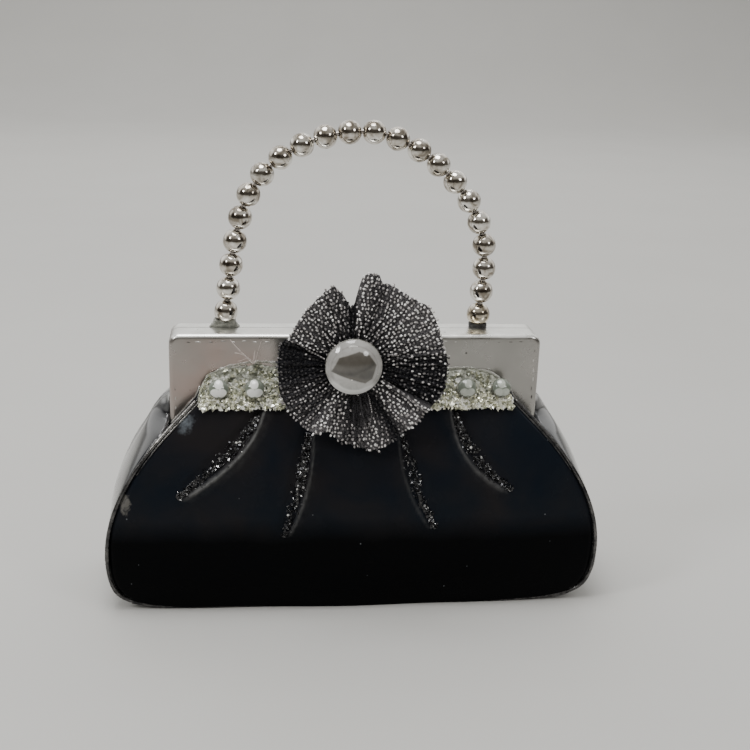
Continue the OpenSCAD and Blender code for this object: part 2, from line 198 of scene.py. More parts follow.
class Heap:
    """Many small closed shapes that make one mesh."""

    def __init__(self):
        self.points, self.faces, self.tones, self.count = [], [], [], 0

    def add(self, points, faces, tone=1.0):
        points = np.asarray(points, float)
        self.faces += [tuple(self.count + i for i in f) for f in faces]
        self.points.append(points)
        self.tones.append(np.broadcast_to(tone, len(points)))
        self.count += len(points)

    def make(self, name, look, smooth_shading=True):
        obj = add_mesh(name, np.concatenate(self.points), self.faces, look, smooth_shading)
        set_tone(obj, np.concatenate(self.tones))
        return obj


def axes_to(direction):
    """Two directions square to this one."""
    d = np.asarray(direction, float) / np.linalg.norm(direction)
    side = np.cross(d, (0, 1, 0) if abs(d[1]) < 0.9 else (1, 0, 0))
    side /= np.linalg.norm(side)
    return d, side, np.cross(d, side)


def lathe(profile, origin, axis, sides=48, closed=False):
    """Points and faces of (radius, height) pairs turned about an axis; closed joins the last to the first."""
    d, u, v = axes_to(axis)
    points = []
    for radius, height in profile:
        for k in range(sides):
            a = math.tau * k / sides
            points.append(origin + d * height + radius * (math.cos(a) * u + math.sin(a) * v))
    faces = grid_faces(len(profile), sides, wrap_columns=True, wrap_rows=closed)
    if not closed:
        faces += [
            tuple(range(sides - 1, -1, -1)), tuple(range((len(profile) - 1) * sides, len(profile) * sides))
        ]
    return np.array(points), faces


def tube(line, radii, sides=12, flat=1.0):
    """Points and faces of a rod along a line, with a radius for each point; flat squeezes it along Y."""
    line = np.asarray(line, float)
    radii = np.broadcast_to(radii, len(line))
    along = np.gradient(line, axis=0)
    points = []
    for p, t, r in zip(line, along, radii):
        t = t / np.linalg.norm(t)
        v = np.cross(t, (0, 1, 0))
        v /= np.linalg.norm(v)
        w = np.cross(v, t)
        for k in range(sides):
            a = math.tau * k / sides
            points.append(p + r * (math.cos(a) * v + flat * math.sin(a) * w))
    faces = grid_faces(len(line), sides, wrap_columns=True)
    last = (len(line) - 1) * sides
    faces += [tuple(range(sides - 1, -1, -1)), tuple(range(last, last + sides))]
    return np.array(points), faces


OCTAHEDRON = (
    np.array([(1, 0, 0), (-1, 0, 0), (0, 1, 0), (0, -1, 0), (0, 0, 1), (0, 0, -1)], float),
    [(0, 2, 4), (2, 1, 4), (1, 3, 4), (3, 0, 4), (2, 0, 5), (1, 2, 5), (3, 1, 5), (0, 3, 5)],
)


def turned(points, u, v, w, at):
    """Points given along three axes, placed at a point."""
    return points[:, :1] * u + points[:, 1:2] * v + points[:, 2:3] * w + at


def random_axes(rng):
    """Three square axes in a random attitude."""
    q = rng.normal(size=(3, 3))
    u = q[0] / np.linalg.norm(q[0])
    v = np.cross(u, q[1])
    v /= np.linalg.norm(v)
    return u, v, np.cross(u, v)


def applied(obj):
    """Its modifiers become part of its mesh."""
    bpy.context.view_layer.update()
    made = bpy.data.meshes.new_from_object(obj.evaluated_get(bpy.context.evaluated_depsgraph_get()))
    obj.modifiers.clear()
    obj.data = made
    return obj


def thicken(obj, thickness, offset=-1.0):
    m = obj.modifiers.new("thickness", "SOLIDIFY")
    m.thickness, m.offset, m.use_even_offset = thickness * MM, offset, True
    return applied(obj)


def cut(obj, points, faces):
    """Takes a closed shape away from a closed mesh."""
    cutter = add_mesh("cutter", points, faces, obj.data.materials[0])
    m = obj.modifiers.new("cut", "BOOLEAN")
    m.operation, m.object, m.solver = "DIFFERENCE", cutter, "EXACT"
    applied(obj)
    bpy.data.objects.remove(cutter)
    return obj


def crisp(obj, degrees=32):
    """Smooth shading with sharp edges where faces meet at more than that."""
    obj.data.shade_smooth()
    obj.data.set_sharp_from_angle(angle=math.radians(degrees))
    return obj


def placed(obj, body, slot, *nodes):
    """The piece rides on a body and stands for CAD nodes, which it hides; slot is not used."""
    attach(obj, body)
    if nodes:
        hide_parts(*nodes)
    return obj


# ---- materials ------------------------------------------------------------


class Look:
    """A Principled material whose detail comes from nodes, in millimetres of object space."""

    def __init__(self, name, colour, **values):
        self.material = bpy.data.materials.new(name)
        self.material.use_nodes = True
        self.tree = self.material.node_tree
        self.shader = self.tree.nodes["Principled BSDF"]
        self.shader.inputs["Base Color"].default_value = (*colour, 1)
        for socket, value in values.items():
            self.shader.inputs[socket.replace("_", " ")].default_value = value
        mapping = self.add("ShaderNodeMapping")
        mapping.inputs["Scale"].default_value = (1 / MM,) * 3
        self.link(self.add("ShaderNodeTexCoord").outputs["Object"], mapping.inputs["Vector"])
        self.place = mapping.outputs["Vector"]

    def add(self, kind, **settings):
        node = self.tree.nodes.new(kind)
        for name, value in settings.items():
            setattr(node, name, value)
        return node

    def link(self, output, socket):
        self.tree.links.new(output, socket)

    def fill(self, socket, value):
        """A number, a colour or another node's output goes into a socket."""
        if isinstance(value, bpy.types.NodeSocket):
            self.link(value, socket)
        elif isinstance(value, tuple) and len(value) == 3 and socket.type == "RGBA":
            socket.default_value = (*value, 1)
        else:
            socket.default_value = value

    def stretched(self, scale):
        if scale == (1, 1, 1):
            return self.place
        mapping = self.add("ShaderNodeMapping")
        mapping.inputs["Scale"].default_value = scale
        self.link(self.place, mapping.inputs["Vector"])
        return mapping.outputs["Vector"]

    def noise(self, size, detail=3.0, scale=(1, 1, 1), roughness=0.5, warp=0.0):
        node = self.add("ShaderNodeTexNoise")
        node.inputs["Scale"].default_value = 1 / size
        node.inputs["Detail"].default_value = detail
        node.inputs["Roughness"].default_value = roughness
        node.inputs["Distortion"].default_value = warp
        self.link(self.stretched(scale), node.inputs["Vector"])
        return node.outputs["Fac"]

    def cells(self, size, feature="F1"):
        node = self.add("ShaderNodeTexVoronoi", feature=feature)
        node.inputs["Scale"].default_value = 1 / size
        self.link(self.place, node.inputs["Vector"])
        return node.outputs["Distance"]

    def axis(self, name):
        node = self.add("ShaderNodeSeparateXYZ")
        self.link(self.place, node.inputs[0])
        return node.outputs[name]

    def tone(self):
        return self.add("ShaderNodeAttribute", attribute_name="tone").outputs["Fac"]

    def maths(self, operation, a, b=0.0):
        node = self.add("ShaderNodeMath", operation=operation)
        self.fill(node.inputs[0], a)
        self.fill(node.inputs[1], b)
        return node.outputs[0]

    def ramp(self, value, stops):
        """Stops are (position, grey or colour)."""
        node = self.add("ShaderNodeValToRGB")
        ramp = node.color_ramp
        while len(ramp.elements) < len(stops):
            ramp.elements.new(0.5)
        for element, (position, colour) in zip(ramp.elements, stops):
            element.position = position
            element.color = (*colour, 1) if isinstance(colour, tuple) else (colour, colour, colour, 1)
        self.link(value, node.inputs["Fac"])
        return node.outputs["Color"]

    def mix(self, factor, a, b, blend="MIX"):
        node = self.add("ShaderNodeMix", data_type="RGBA", blend_type=blend)
        self.fill(node.inputs["Factor"], factor)
        self.fill(node.inputs[6], a)
        self.fill(node.inputs[7], b)
        return node.outputs[2]

    def blob(self, centre, radii):
        """1 at a place, falling to 0 at these distances from it."""
        node = self.add("ShaderNodeMapping")
        node.inputs["Scale"].default_value = tuple(1 / r for r in radii)
        node.inputs["Location"].default_value = tuple(-c / r for c, r in zip(centre, radii))
        self.link(self.place, node.inputs["Vector"])
        length = self.add("ShaderNodeVectorMath", operation="LENGTH")
        self.link(node.outputs["Vector"], length.inputs[0])
        return self.maths("SUBTRACT", 1.0, length.outputs["Value"])

    def colour(self, value):
        self.fill(self.shader.inputs["Base Color"], value)
        return self

    def rough(self, value):
        self.fill(self.shader.inputs["Roughness"], value)
        return self

    def bump(self, *layers):
        """Each layer is a height and the distance in millimetres that it stands for."""
        normal = None
        for height, distance in layers:
            node = self.add("ShaderNodeBump")
            node.inputs["Distance"].default_value = distance * MM
            self.fill(node.inputs["Height"], height)
            if normal is not None:
                self.link(normal, node.inputs["Normal"])
            normal = node.outputs["Normal"]
        self.link(normal, self.shader.inputs["Normal"])
        return self


# Patterns for simple_look: the name of a method of Look, and its values


def noise(*values):
    return ("noise", *values)


def cells(size):
    return ("cells", size)


TONE = ("tone",)


def simple_look(name, colour, pattern, shades, rough, *bumps, **values):
    """A material of one pattern of colour, roughness from a noise, and bumps.

    rough is (size, detail, lowest, highest), and each bump is (pattern, height in millimetres).
    """
    look = Look(name, colour, **values)

    def made(kind, *settings):
        return getattr(look, kind)(*settings)

    look.colour(look.ramp(made(*pattern), shades))
    size, detail, low, high = rough
    look.rough(look.ramp(look.noise(size, detail), [(0.3, low), (0.7, high)]))
    look.bump(*[(made(*bump), height) for bump, height in bumps])
    return look.material


def frame_silver():
    """Satin silver sheet: a painted highlight along the top, a face painted darker with a brownish painted
    reflection on its left, fine hair scratches and specks of soil.
    """
    look = Look("frame_silver", (0.5, 0.49, 0.475), Metallic=1.0)
    # the face's darker grey: painted reflection of the dim room in front
    cool = look.ramp(
        look.noise(22, 2, warp=0.6), [(0.35, (0.36, 0.355, 0.335)), (0.65, (0.39, 0.375, 0.355))]
    )
    # a brownish patch over the left of the face: painted reflection
    brown_reflection = look.maths("MULTIPLY", look.blob((-46, face_y, 73), (30, 40, 24)), look.noise(16, 3, warp=0.5))
    face = look.mix(look.ramp(brown_reflection, [(0.02, 0.0), (0.3, 1.0)]), cool, (0.405, 0.33, 0.3))
    # the top painted bright above the face: painted highlight of the light from above
    top_highlight_stops = [((frame_top - 1.5) / 100, 0.0), ((frame_top - 0.9) / 100, 1.0)]
    top = look.ramp(look.maths("DIVIDE", look.axis("Z"), 100.0), top_highlight_stops)
    plating_shades = look.ramp(look.noise(6, 4), [(0.35, (0.86, 0.86, 0.83)), (0.7, (0.74, 0.735, 0.71))])
    base = look.mix(top, face, plating_shades)
    speck = look.ramp(look.cells(7.5), [(0.035, 0.28), (0.06, 1.0)])
    look.colour(look.mix(1.0, base, speck, "MULTIPLY"))
    hair = look.noise(1.2, 4, scale=(0.12, 1, 2.2), roughness=0.7)
    look.rough(look.ramp(look.noise(9, 4), [(0.3, 0.22), (0.75, 0.38)]))
    look.bump((hair, 0.012), (look.noise(14, 2), 0.25))
    return look.material


def bright_metal(name, colour, rough_low, rough_high):
    """Plated metal with fingermarks and fine pitting."""
    look = Look(name, colour, Metallic=1.0)
    film = look.noise(2.5, 4, warp=0.8)
    dull = tuple(c * 0.72 for c in colour)
    look.colour(look.ramp(film, [(0.4, colour), (0.72, dull)]))
    look.rough(look.ramp(look.noise(1.4, 3), [(0.35, rough_low), (0.75, rough_high)]))
    look.bump((look.noise(0.35, 2), 0.006))
    return look.material


def bead_silver():
    """Mirror plating over cast beads: warm, slightly uneven, with tarnish and lacquer pooled by the bores."""
    look = Look("bead_silver", (0.86, 0.84, 0.79), Metallic=1.0)
    film = look.noise(3.1, 3, warp=0.7)
    plating_shades = look.ramp(
        film, [(0.34, (0.82, 0.8, 0.75)), (0.5, (0.56, 0.52, 0.46)), (0.64, (0.24, 0.21, 0.17))]
    )
    aged = look.blob((41.0, 3.6, 91.0), (6, 6, 9))
    look.colour(look.mix(look.ramp(aged, [(0.1, 0.0), (0.7, 0.75)]), plating_shades, (0.62, 0.5, 0.28)))
    look.rough(look.ramp(look.noise(1.1, 3), [(0.4, 0.05), (0.8, 0.16)]))
    look.bump((look.noise(2.2, 2), 0.1), (look.noise(0.4, 2), 0.004))
    return look.material


def patent(name="patent", front_wear_and_highlights=False, gloss_level=0.04, coat=0.0):
    """Black patent, painted greyer above as painted reflection, and dusty; the front also has worn folds that
    carry a painted highlight, a chip and a scuff.
    """
    look = Look(
        name, (0.006, 0.006, 0.008), Specular_IOR_Level=gloss_level, Coat_Weight=coat, Coat_Roughness=0.12
    )
    # greyer above about z 30, near black below: painted reflection, greyer where the skin tilts up
    reflected_grey = look.ramp(
        look.noise(24, 3, warp=0.5), [(0.3, (0.007, 0.0105, 0.016)), (0.7, (0.017, 0.0155, 0.0165))]
    )
    rise = look.maths("ADD", look.axis("Z"), look.maths("MULTIPLY", look.noise(30, 2), 6.0))
    above = look.ramp(look.maths("DIVIDE", rise, 90.0), [(0.31, 0.0), (0.40, 1.0)])
    surface = look.mix(above, (0.0012, 0.0014, 0.0018), reflected_grey)
    dust = look.ramp(look.cells(5.5), [(0.022, (0.16, 0.17, 0.18)), (0.05, (0.0, 0.0, 0.0))])
    surface = look.mix(1.0, surface, dust, "ADD")
    gloss = look.ramp(look.noise(12, 4), [(0.3, 0.16), (0.75, 0.34)])
    if front_wear_and_highlights:
        # the pleats' lips painted lighter: partly wear, partly painted highlight where they catch the light
        lip_wear_and_highlight = look.ramp(look.maths("MULTIPLY", look.tone(), look.noise(1.8, 4)), [(0.03, 0.0), (0.5, 1.0)])
        surface = look.mix(lip_wear_and_highlight, surface, (0.1, 0.1, 0.098))
        chip = look.maths(
            "MULTIPLY", look.blob((-74.2, -22.8, 38.6), (3.4, 6, 7.5)), look.noise(2.2, 4, warp=1.2)
        )
        bare = look.ramp(chip, [(0.2, 0.0), (0.32, 1.0)])
        surface = look.mix(bare, surface, (0.13, 0.125, 0.115))
        scuff = look.maths("MULTIPLY", look.blob((-55.5, -16.5, 64.0), (5.2, 8, 6.5)), look.noise(1.3, 4))
        surface = look.mix(look.ramp(scuff, [(0.16, 0.0), (0.42, 0.8)]), surface, (0.15, 0.17, 0.19))
        gloss = look.mix(bare, gloss, (0.6, 0.6, 0.6))
    look.colour(surface).rough(gloss)
    look.bump((look.noise(0.7, 3), 0.012), (look.noise(10, 2), 0.18))
    return look.material


def edging():
    """Silver foil edging, worn through to dark lacquer below the shoulders."""
    look = Look("edging", (0.6, 0.59, 0.56), Metallic=0.85)
    height = look.maths("ADD", look.axis("Z"), look.maths("MULTIPLY", look.noise(4, 4), 16.0))
    left = look.maths("LESS_THAN", look.axis("X"), 0.0)
    bright = look.ramp(look.maths("DIVIDE", height, 90.0), [(0.66, 0.0), (0.74, 1.0)])
    silver = look.ramp(look.noise(1.6, 4), [(0.35, (0.36, 0.35, 0.335)), (0.7, (0.14, 0.135, 0.13))])
    dark = look.ramp(look.noise(2.2, 4), [(0.35, (0.03, 0.03, 0.032)), (0.75, (0.16, 0.155, 0.15))])
    look.colour(look.mix(look.maths("MULTIPLY", bright, left), dark, silver))
    look.rough(look.ramp(look.noise(1.0, 3), [(0.3, 0.16), (0.7, 0.42)]))
    look.bump((look.noise(0.8, 3), 0.05))
    return look.material


def clear_stone(name, shades):
    """Clear acrylic over crinkled silver foil: the tone sets how light the stone looks, painted highlights
    included.
    """
    look = Look(
        name, (0.5, 0.5, 0.48), Transmission_Weight=0.12, IOR=1.49, Coat_Weight=1.0, Coat_Roughness=0.03
    )
    crinkle = look.maths("MULTIPLY", look.maths("SUBTRACT", look.noise(2.4, 4, warp=1.0), 0.5), 0.22)
    look.colour(look.ramp(look.maths("ADD", look.tone(), crinkle), shades))
    look.rough(look.ramp(look.noise(1.5, 5, scale=(0.3, 1, 2)), [(0.5, 0.1), (0.8, 0.22)]))
    look.bump((look.noise(2.5, 1), 0.03))
    return look.material


def rosette_cloth():
    """Black metal-thread net: fine crossing threads with pin holes between them; the tone mixes a dark net
    and a lighter one as painted light and shade of the lobes.
    """
    look = Look(
        "rosette_cloth", (0.012, 0.012, 0.015), Specular_IOR_Level=0.05, Sheen_Weight=0.02,
        Sheen_Roughness=0.4
    )
    net = look.cells(0.55, feature="DISTANCE_TO_EDGE")
    dark = look.ramp(net, [(0.03, (0.03, 0.03, 0.034)), (0.16, (0.004, 0.004, 0.006))])
    plated = look.ramp(net, [(0.03, (0.3, 0.285, 0.29)), (0.2, (0.06, 0.057, 0.06))])
    look.colour(look.mix(look.tone(), dark, plated))
    look.rough(look.ramp(net, [(0.03, 0.28), (0.2, 0.7)]))
    look.bump((net, 0.25), (look.noise(2.0, 2), 0.2))
    return look.material


def felt():
    look = Look("felt", (0.012, 0.012, 0.013), Roughness=0.95, Sheen_Weight=0.4, Sheen_Roughness=0.6)
    fuzz = look.noise(0.5, 6, roughness=0.7)
    look.colour(look.ramp(fuzz, [(0.3, (0.006, 0.006, 0.007)), (0.7, (0.035, 0.034, 0.036))]))
    look.rough(look.ramp(fuzz, [(0.3, 0.85), (0.7, 1.0)]))
    look.bump((fuzz, 0.2), (look.noise(3, 2), 0.2))
    return look.material


def satin():
    """Grey satin lining: fine twill and soft watered bands."""
    look = Look("satin", (0.3, 0.29, 0.27), Roughness=0.4, Sheen_Weight=0.3, Sheen_Roughness=0.3)
    water = look.noise(9, 3, scale=(1, 1, 0.4), warp=0.8)
    look.colour(look.ramp(water, [(0.3, (0.2, 0.193, 0.18)), (0.7, (0.36, 0.35, 0.325))]))
    wave = look.add("ShaderNodeTexWave", bands_direction="DIAGONAL")
    wave.inputs["Scale"].default_value = 2.2
    wave.inputs["Distortion"].default_value = 0.4
    look.link(look.place, wave.inputs["Vector"])
    look.rough(look.ramp(water, [(0.3, 0.3), (0.7, 0.5)]))
    look.bump((wave.outputs["Fac"], 0.05), (look.noise(2, 3), 0.12))
    return look.material


def board():
    """Grey-brown fibre board with flecks and a felted edge."""
    look = Look("board", (0.3, 0.25, 0.18), Roughness=0.85)
    fibre = look.noise(0.8, 6, scale=(0.3, 1, 1), roughness=0.7)
    shades = [(0.3, (0.16, 0.13, 0.095)), (0.55, (0.3, 0.25, 0.18)), (0.75, (0.42, 0.37, 0.29))]
    look.colour(look.ramp(fibre, shades))
    look.rough(look.ramp(fibre, [(0.3, 0.75), (0.7, 0.95)]))
    look.bump((fibre, 0.15))
    return look.material


SILVER = frame_silver()
PLATED = bright_metal("plated_steel", (0.72, 0.71, 0.69), 0.1, 0.28)
WIRE = bright_metal("handle_wire_steel", (0.5, 0.46, 0.42), 0.22, 0.45)
CHROME = bead_silver()
PATENT = patent()
# the front's pleat lips carry wear and painted highlight
PATENT_FRONT = patent("patent_front", front_wear_and_highlights=True)
PATENT_SIDE = patent("patent_side", gloss_level=0.5, coat=1.0)
EDGING = edging()
SILVER_CORD = bright_metal("silver_cord", (0.62, 0.61, 0.58), 0.25, 0.45)
# Dried clear glue, cloudy inside
GLUE = simple_look(
    "clear_glue",
    (0.8, 0.8, 0.76),
    noise(1.1, 3),
    [(0.3, (0.86, 0.86, 0.8)), (0.7, (0.55, 0.56, 0.48))],
    (0.8, 2, 0.06, 0.3),
    (noise(0.7, 3), 0.12),
    Transmission_Weight=0.65,
    IOR=1.46,
)
# Near-white spots on the cabochon: painted highlights
HIGHLIGHT_SPOT = simple_look(
    "painted_highlight_spot",
    (0.9, 0.9, 0.86),
    noise(0.6, 2),
    [(0.3, (0.82, 0.82, 0.78)), (0.7, (1.0, 1.0, 0.97))],
    (0.5, 2, 0.2, 0.4),
    (noise(0.3, 2), 0.02),
    Coat_Weight=1.0,
    Coat_Roughness=0.05,
)
# Champagne crushed glass: each shard has its own tone, from olive shade to near white
GLASS = simple_look(
    "crushed_glass",
    (0.8, 0.78, 0.6),
    TONE,
    [
        (0.0, (0.12, 0.13, 0.09)), (0.35, (0.44, 0.45, 0.32)), (0.68, (0.85, 0.84, 0.66)),
        (1.0, (1.0, 1.0, 0.94))
    ],
    (0.5, 2, 0.05, 0.28),
    (noise(0.4, 2), 0.03),
    Metallic=0.55,
    Coat_Weight=0.6,
    Coat_Roughness=0.04,
)
# The olive-tinted glue that holds the crushed glass
GLUE_BED = simple_look(
    "glue_bed",
    (0.3, 0.31, 0.2),
    noise(1.3, 4),
    [(0.3, (0.12, 0.125, 0.1)), (0.55, (0.36, 0.37, 0.3)), (0.75, (0.62, 0.62, 0.52))],
    (0.6, 2, 0.08, 0.35),
    (cells(1.1), 0.35),
    (noise(0.5, 3), 0.1),
    Coat_Weight=0.8,
    Coat_Roughness=0.05,
)
GEM = clear_stone(
    "gem_clear",
    [(0.0, (0.13, 0.15, 0.12)), (0.4, (0.26, 0.29, 0.24)), (0.7, (0.85, 0.88, 0.8)), (0.9, (1.0, 1.0, 0.97))],
)
DOME = clear_stone(
    "cabochon_clear",
    [
        (0.0, (0.04, 0.036, 0.028)), (0.35, (0.14, 0.128, 0.11)), (0.62, (0.46, 0.45, 0.43)),
        (0.92, (1.0, 1.0, 0.98))
    ],
)
# Silvered backing round the stones, crinkled
FOIL = simple_look(
    "foil",
    (0.7, 0.69, 0.66),
    noise(1.4, 3, (1, 1, 1), 0.5, 0.6),
    [(0.35, (0.3, 0.3, 0.26)), (0.65, (0.75, 0.74, 0.68))],
    (0.9, 3, 0.16, 0.4),
    (noise(1.6, 2), 0.2),
    Metallic=0.6,
)
NET = rosette_cloth()
# Gunmetal to silver grains woven into the net; the tone is painted light and shade: light on lit lobes, near
# black in shaded folds and gaps
GRAIN = simple_look(
    "rosette_grain",
    (0.5, 0.5, 0.52),
    TONE,
    [
        (0.0, (0.004, 0.004, 0.005)),
        (0.25, (0.07, 0.067, 0.07)),
        (0.5, (0.4, 0.38, 0.38)),
        (0.75, (0.78, 0.75, 0.74)),
        (1.0, (1.0, 0.99, 0.98)),
    ],
    (0.5, 2, 0.14, 0.38),
    (noise(0.3, 2), 0.03),
    Metallic=0.35,
)
# Black glitter flakes, a few of them worn to silver
FLAKE = simple_look(
    "pleat_flake",
    (0.05, 0.05, 0.055),
    TONE,
    [(0.0, (0.008, 0.008, 0.01)), (0.7, (0.09, 0.09, 0.095)), (1.0, (0.9, 0.9, 0.9))],
    (0.5, 2, 0.12, 0.35),
    (noise(0.4, 2), 0.02),
    Metallic=0.9,
)
# Black glue under the glitter
PLEAT_BED = simple_look(
    "pleat_bed",
    (0.01, 0.01, 0.012),
    cells(0.9),
    [(0.1, (0.03, 0.03, 0.034)), (0.5, (0.004, 0.004, 0.005))],
    (0.6, 2, 0.12, 0.4),
    (cells(0.9), 0.3),
    (noise(0.5, 2), 0.1),
    Coat_Weight=0.5,
    Coat_Roughness=0.1,
)
FELT = felt()
SATIN = satin()
BOARD = board()
# Dark rubber and blackened fixings
DARK = simple_look(
    "dark_fixing",
    (0.04, 0.04, 0.042),
    noise(1.5, 4),
    [(0.3, (0.012, 0.012, 0.014)), (0.7, (0.07, 0.065, 0.06))],
    (0.8, 3, 0.3, 0.65),
    (noise(0.5, 3), 0.05),
)
FOOT_GLUE = simple_look(
    "foot_glue",
    (0.3, 0.3, 0.27),
    noise(1.2, 4),
    [(0.3, (0.16, 0.165, 0.14)), (0.7, (0.5, 0.5, 0.44))],
    (0.8, 2, 0.1, 0.4),
    (noise(0.8, 3), 0.2),
    Transmission_Weight=0.3,
    IOR=1.45,
)
GLUE_STRING = simple_look(
    "glue_string",
    (0.7, 0.62, 0.57),
    noise(1.5, 3),
    [(0.3, (0.86, 0.78, 0.74)), (0.7, (0.66, 0.58, 0.54))],
    (0.8, 2, 0.2, 0.45),
    (noise(0.5, 2), 0.04),
    Metallic=0.3,
)
STITCH_MARK = simple_look(
    "stitch_mark",
    (0.6, 0.59, 0.57),
    noise(5, 3),
    [(0.42, (0.78, 0.77, 0.74)), (0.6, (0.16, 0.15, 0.14))],
    (1, 2, 0.25, 0.5),
    (noise(0.4, 2), 0.03),
    Metallic=0.7,
)

# ---- frame ----------------------------------------------------------------


def frame_path(spacing=1.5):
    """Front view of a shell's edge, up the left, over the top and down the right, with outward normals."""
    w, top, r = frame_half_w, frame_top, corner_r
    points, normals = [], []

    def straight(a, b, normal):
        for t in np.linspace(0, 1, max(2, int(np.linalg.norm(np.subtract(b, a)) / spacing)), endpoint=False):
            points.append(np.add(a, t * np.subtract(b, a)))
            normals.append(normal)

    def corner(cx, cz, start, end):
        for a in np.radians(np.linspace(start, end, 12, endpoint=False)):
            normals.append((math.cos(a), math.sin(a)))
            points.append((cx + r * math.cos(a), cz + r * math.sin(a)))

    straight((-w, frame_low), (-w, top - r), (-1, 0))
    corner(-w + r, top - r, 180, 90)
    straight((-w + r, top), (w - r, top), (0, 1))
    corner(w - r, top - r, 90, 0)
    straight((w, top - r), (w, frame_low), (1, 0))
    points.append((w, frame_low))
    normals.append((1, 0))
    return np.array(points), np.array(normals, float)


def pressed_shell(name, face, mouth, body, slot, seed):
    """One half of the frame: a pressed sheet with its face at y = face and its open side at y = mouth."""
    path, normals = frame_path()
    n = len(path)
    inward = 1 if mouth > face else -1
    depth = abs(mouth - face)
    turn = np.radians(np.linspace(0, 90, 9))
    outer = [(0.0, depth), (0.0, depth - 0.4), (0.0, (depth + edge_r) / 2), (0.0, edge_r + 0.3)]
    outer += [(edge_r * (1 - math.cos(a)), edge_r * (1 - math.sin(a))) for a in turn]
    inner_r = edge_r - frame_t
    inner = [
        (frame_t, depth), (frame_t, depth - 0.4), (frame_t, (depth + edge_r) / 2), (frame_t, edge_r + 0.3)
    ]
    inner += [(edge_r - inner_r * math.cos(a), edge_r - inner_r * math.sin(a)) for a in turn]
    centre = np.array([0.0, frame_low])

    def skin(profile, back_face):
        rings = [(path - normals * inset, back) for inset, back in profile]
        flat_ring = path - normals * 3.2
        rings += [(centre + k * (flat_ring - centre), back_face) for k in np.linspace(1.0, 0.03, 16)]
        points = []
        for xz, back in rings:
            wobble = 0.1 * waves(xz[:, 0], xz[:, 1], seed, 34) * smooth(depth, edge_r, back)
            points.append(np.stack([xz[:, 0], face + inward * back + wobble, xz[:, 1]], 1))
        faces = grid_faces(len(rings), n) + [tuple(range((len(rings) - 1) * n, len(rings) * n))]
        return np.concatenate(points), faces, len(rings)

    outside, faces, rings = skin(outer, 0.0)
    inside, inside_faces, _ = skin(inner, frame_t)
    start = len(outside)
    faces += [tuple(start + i for i in reversed(f)) for f in inside_faces]
    faces += [(start + k, start + k + 1, k + 1, k) for k in range(n - 1)]
    for k, turn_over in ((0, False), (n - 1, True)):
        for i in range(rings - 1):
            quad = (i * n + k, (i + 1) * n + k, start + (i + 1) * n + k, start + i * n + k)
            faces.append(quad if turn_over else quad[::-1])
    a, b = (rings - 1) * n, rings * n - 1
    faces.append((a, b, start + b, start + a))
    obj = add_mesh(name, np.concatenate([outside, inside]), faces, SILVER)
    face_out(obj)
    return placed(obj, body, slot)


def face_out(obj):
    """All faces of a closed mesh look outwards."""
    work = bmesh.new()
    work.from_mesh(obj.data)
    bmesh.ops.recalc_face_normals(work, faces=work.faces)
    work.to_mesh(obj.data)
    work.free()
    return obj


def round_cutter(at, axis, radius, length):
    d = np.asarray(axis, float)
    return lathe([(radius, -length / 2), (radius, length / 2)], np.asarray(at, float), d, 32)


def frame_shells():
    front = pressed_shell("frame_shell_front", face_y, parting_y - parting_gap / 2, ROOT, "frame_silver", 4)
    rear = pressed_shell("frame_shell_rear", back_y, parting_y + parting_gap / 2, REAR, "frame_silver", 9)
    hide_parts("front_frame")
    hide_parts("rear_frame")
    for side in (-1, 1):
        # room in the front shell's sides for the rear shell's ears
        cut(front, *round_cutter((side * (frame_half_w - 0.5), parting_y, hinge[2]), (1, 0, 0), 3.5, 3))
        cut(rear, *round_cutter((side * frame_half_w, parting_y, hinge[2]), (1, 0, 0), rivet_r + 0.1, 6))
    for obj in (front, rear):
        crisp(obj)
    return front, rear


def ears():
    """Round ears at the hinge: the rear shell's outside, the front shell's set in from them."""
    for name, x_in, x_out, body in (
        ("hinge_ears_rear", frame_half_w - frame_t, frame_half_w, REAR),
        ("hinge_ears_front", frame_half_w - frame_t - ear_depth, frame_half_w - frame_t - ear_gap, ROOT),
    ):
        heap = Heap()
        for side in (-1, 1):
            thick = x_out - x_in
            bore = rivet_r + 0.05
            worn = ear_r - 0.2
            profile = [(bore, 0), (worn, 0), (ear_r, 0.2), (ear_r, thick - 0.2), (worn, thick), (bore, thick)]
            at = np.array([side * x_in, parting_y, hinge[2]])
            points, faces = lathe(profile, at, (side, 0, 0), 40, closed=True)
            heap.add(points, faces)
            # the web that carries the ear from its shell
            toward = -1 if body == ROOT else 1
            y0 = parting_y + toward * 2.2
            y1 = (face_y + frame_t) if body == ROOT else (back_y - frame_t)
            x0, x1 = sorted((side * (x_in + 0.02), side * (x_out - 0.02)))
            y0, y1 = sorted((y0, y1))
            corners = [
                (x, y, z) for x in (x0, x1) for y in (y0, y1) for z in (hinge[2] - 2.2, hinge[2] + 2.2)
            ]
            web = [(0, 1, 3, 2), (4, 6, 7, 5), (0, 4, 5, 1), (2, 3, 7, 6), (0, 2, 6, 4), (1, 5, 7, 3)]
            heap.add(corners, web)
        placed(crisp(heap.make(name, SILVER)), body, "frame_silver")


def rivets():
    heap = Heap()
    for side in (-1, 1):
        inner = frame_half_w - frame_t - ear_depth
        length = frame_half_w + 0.5 - inner
        profile = [
            (0.01, -0.5), (1.6, -0.5), (2.0, -0.3), (2.0, 0.0), (rivet_r, 0.0), (rivet_r, length - 0.45)
        ]
        profile += [
            (2.2, length - 0.45), (2.2, length - 0.3), (1.9, length - 0.12), (1.2, length - 0.02),
            (0.01, length)
        ]
        heap.add(*lathe(profile, np.array([side * inner, parting_y, hinge[2]]), (side, 0, 0), 36))
    placed(crisp(heap.make("hinge_rivet_pair", PLATED)), ROOT, "fixings", "hinge_rivets")


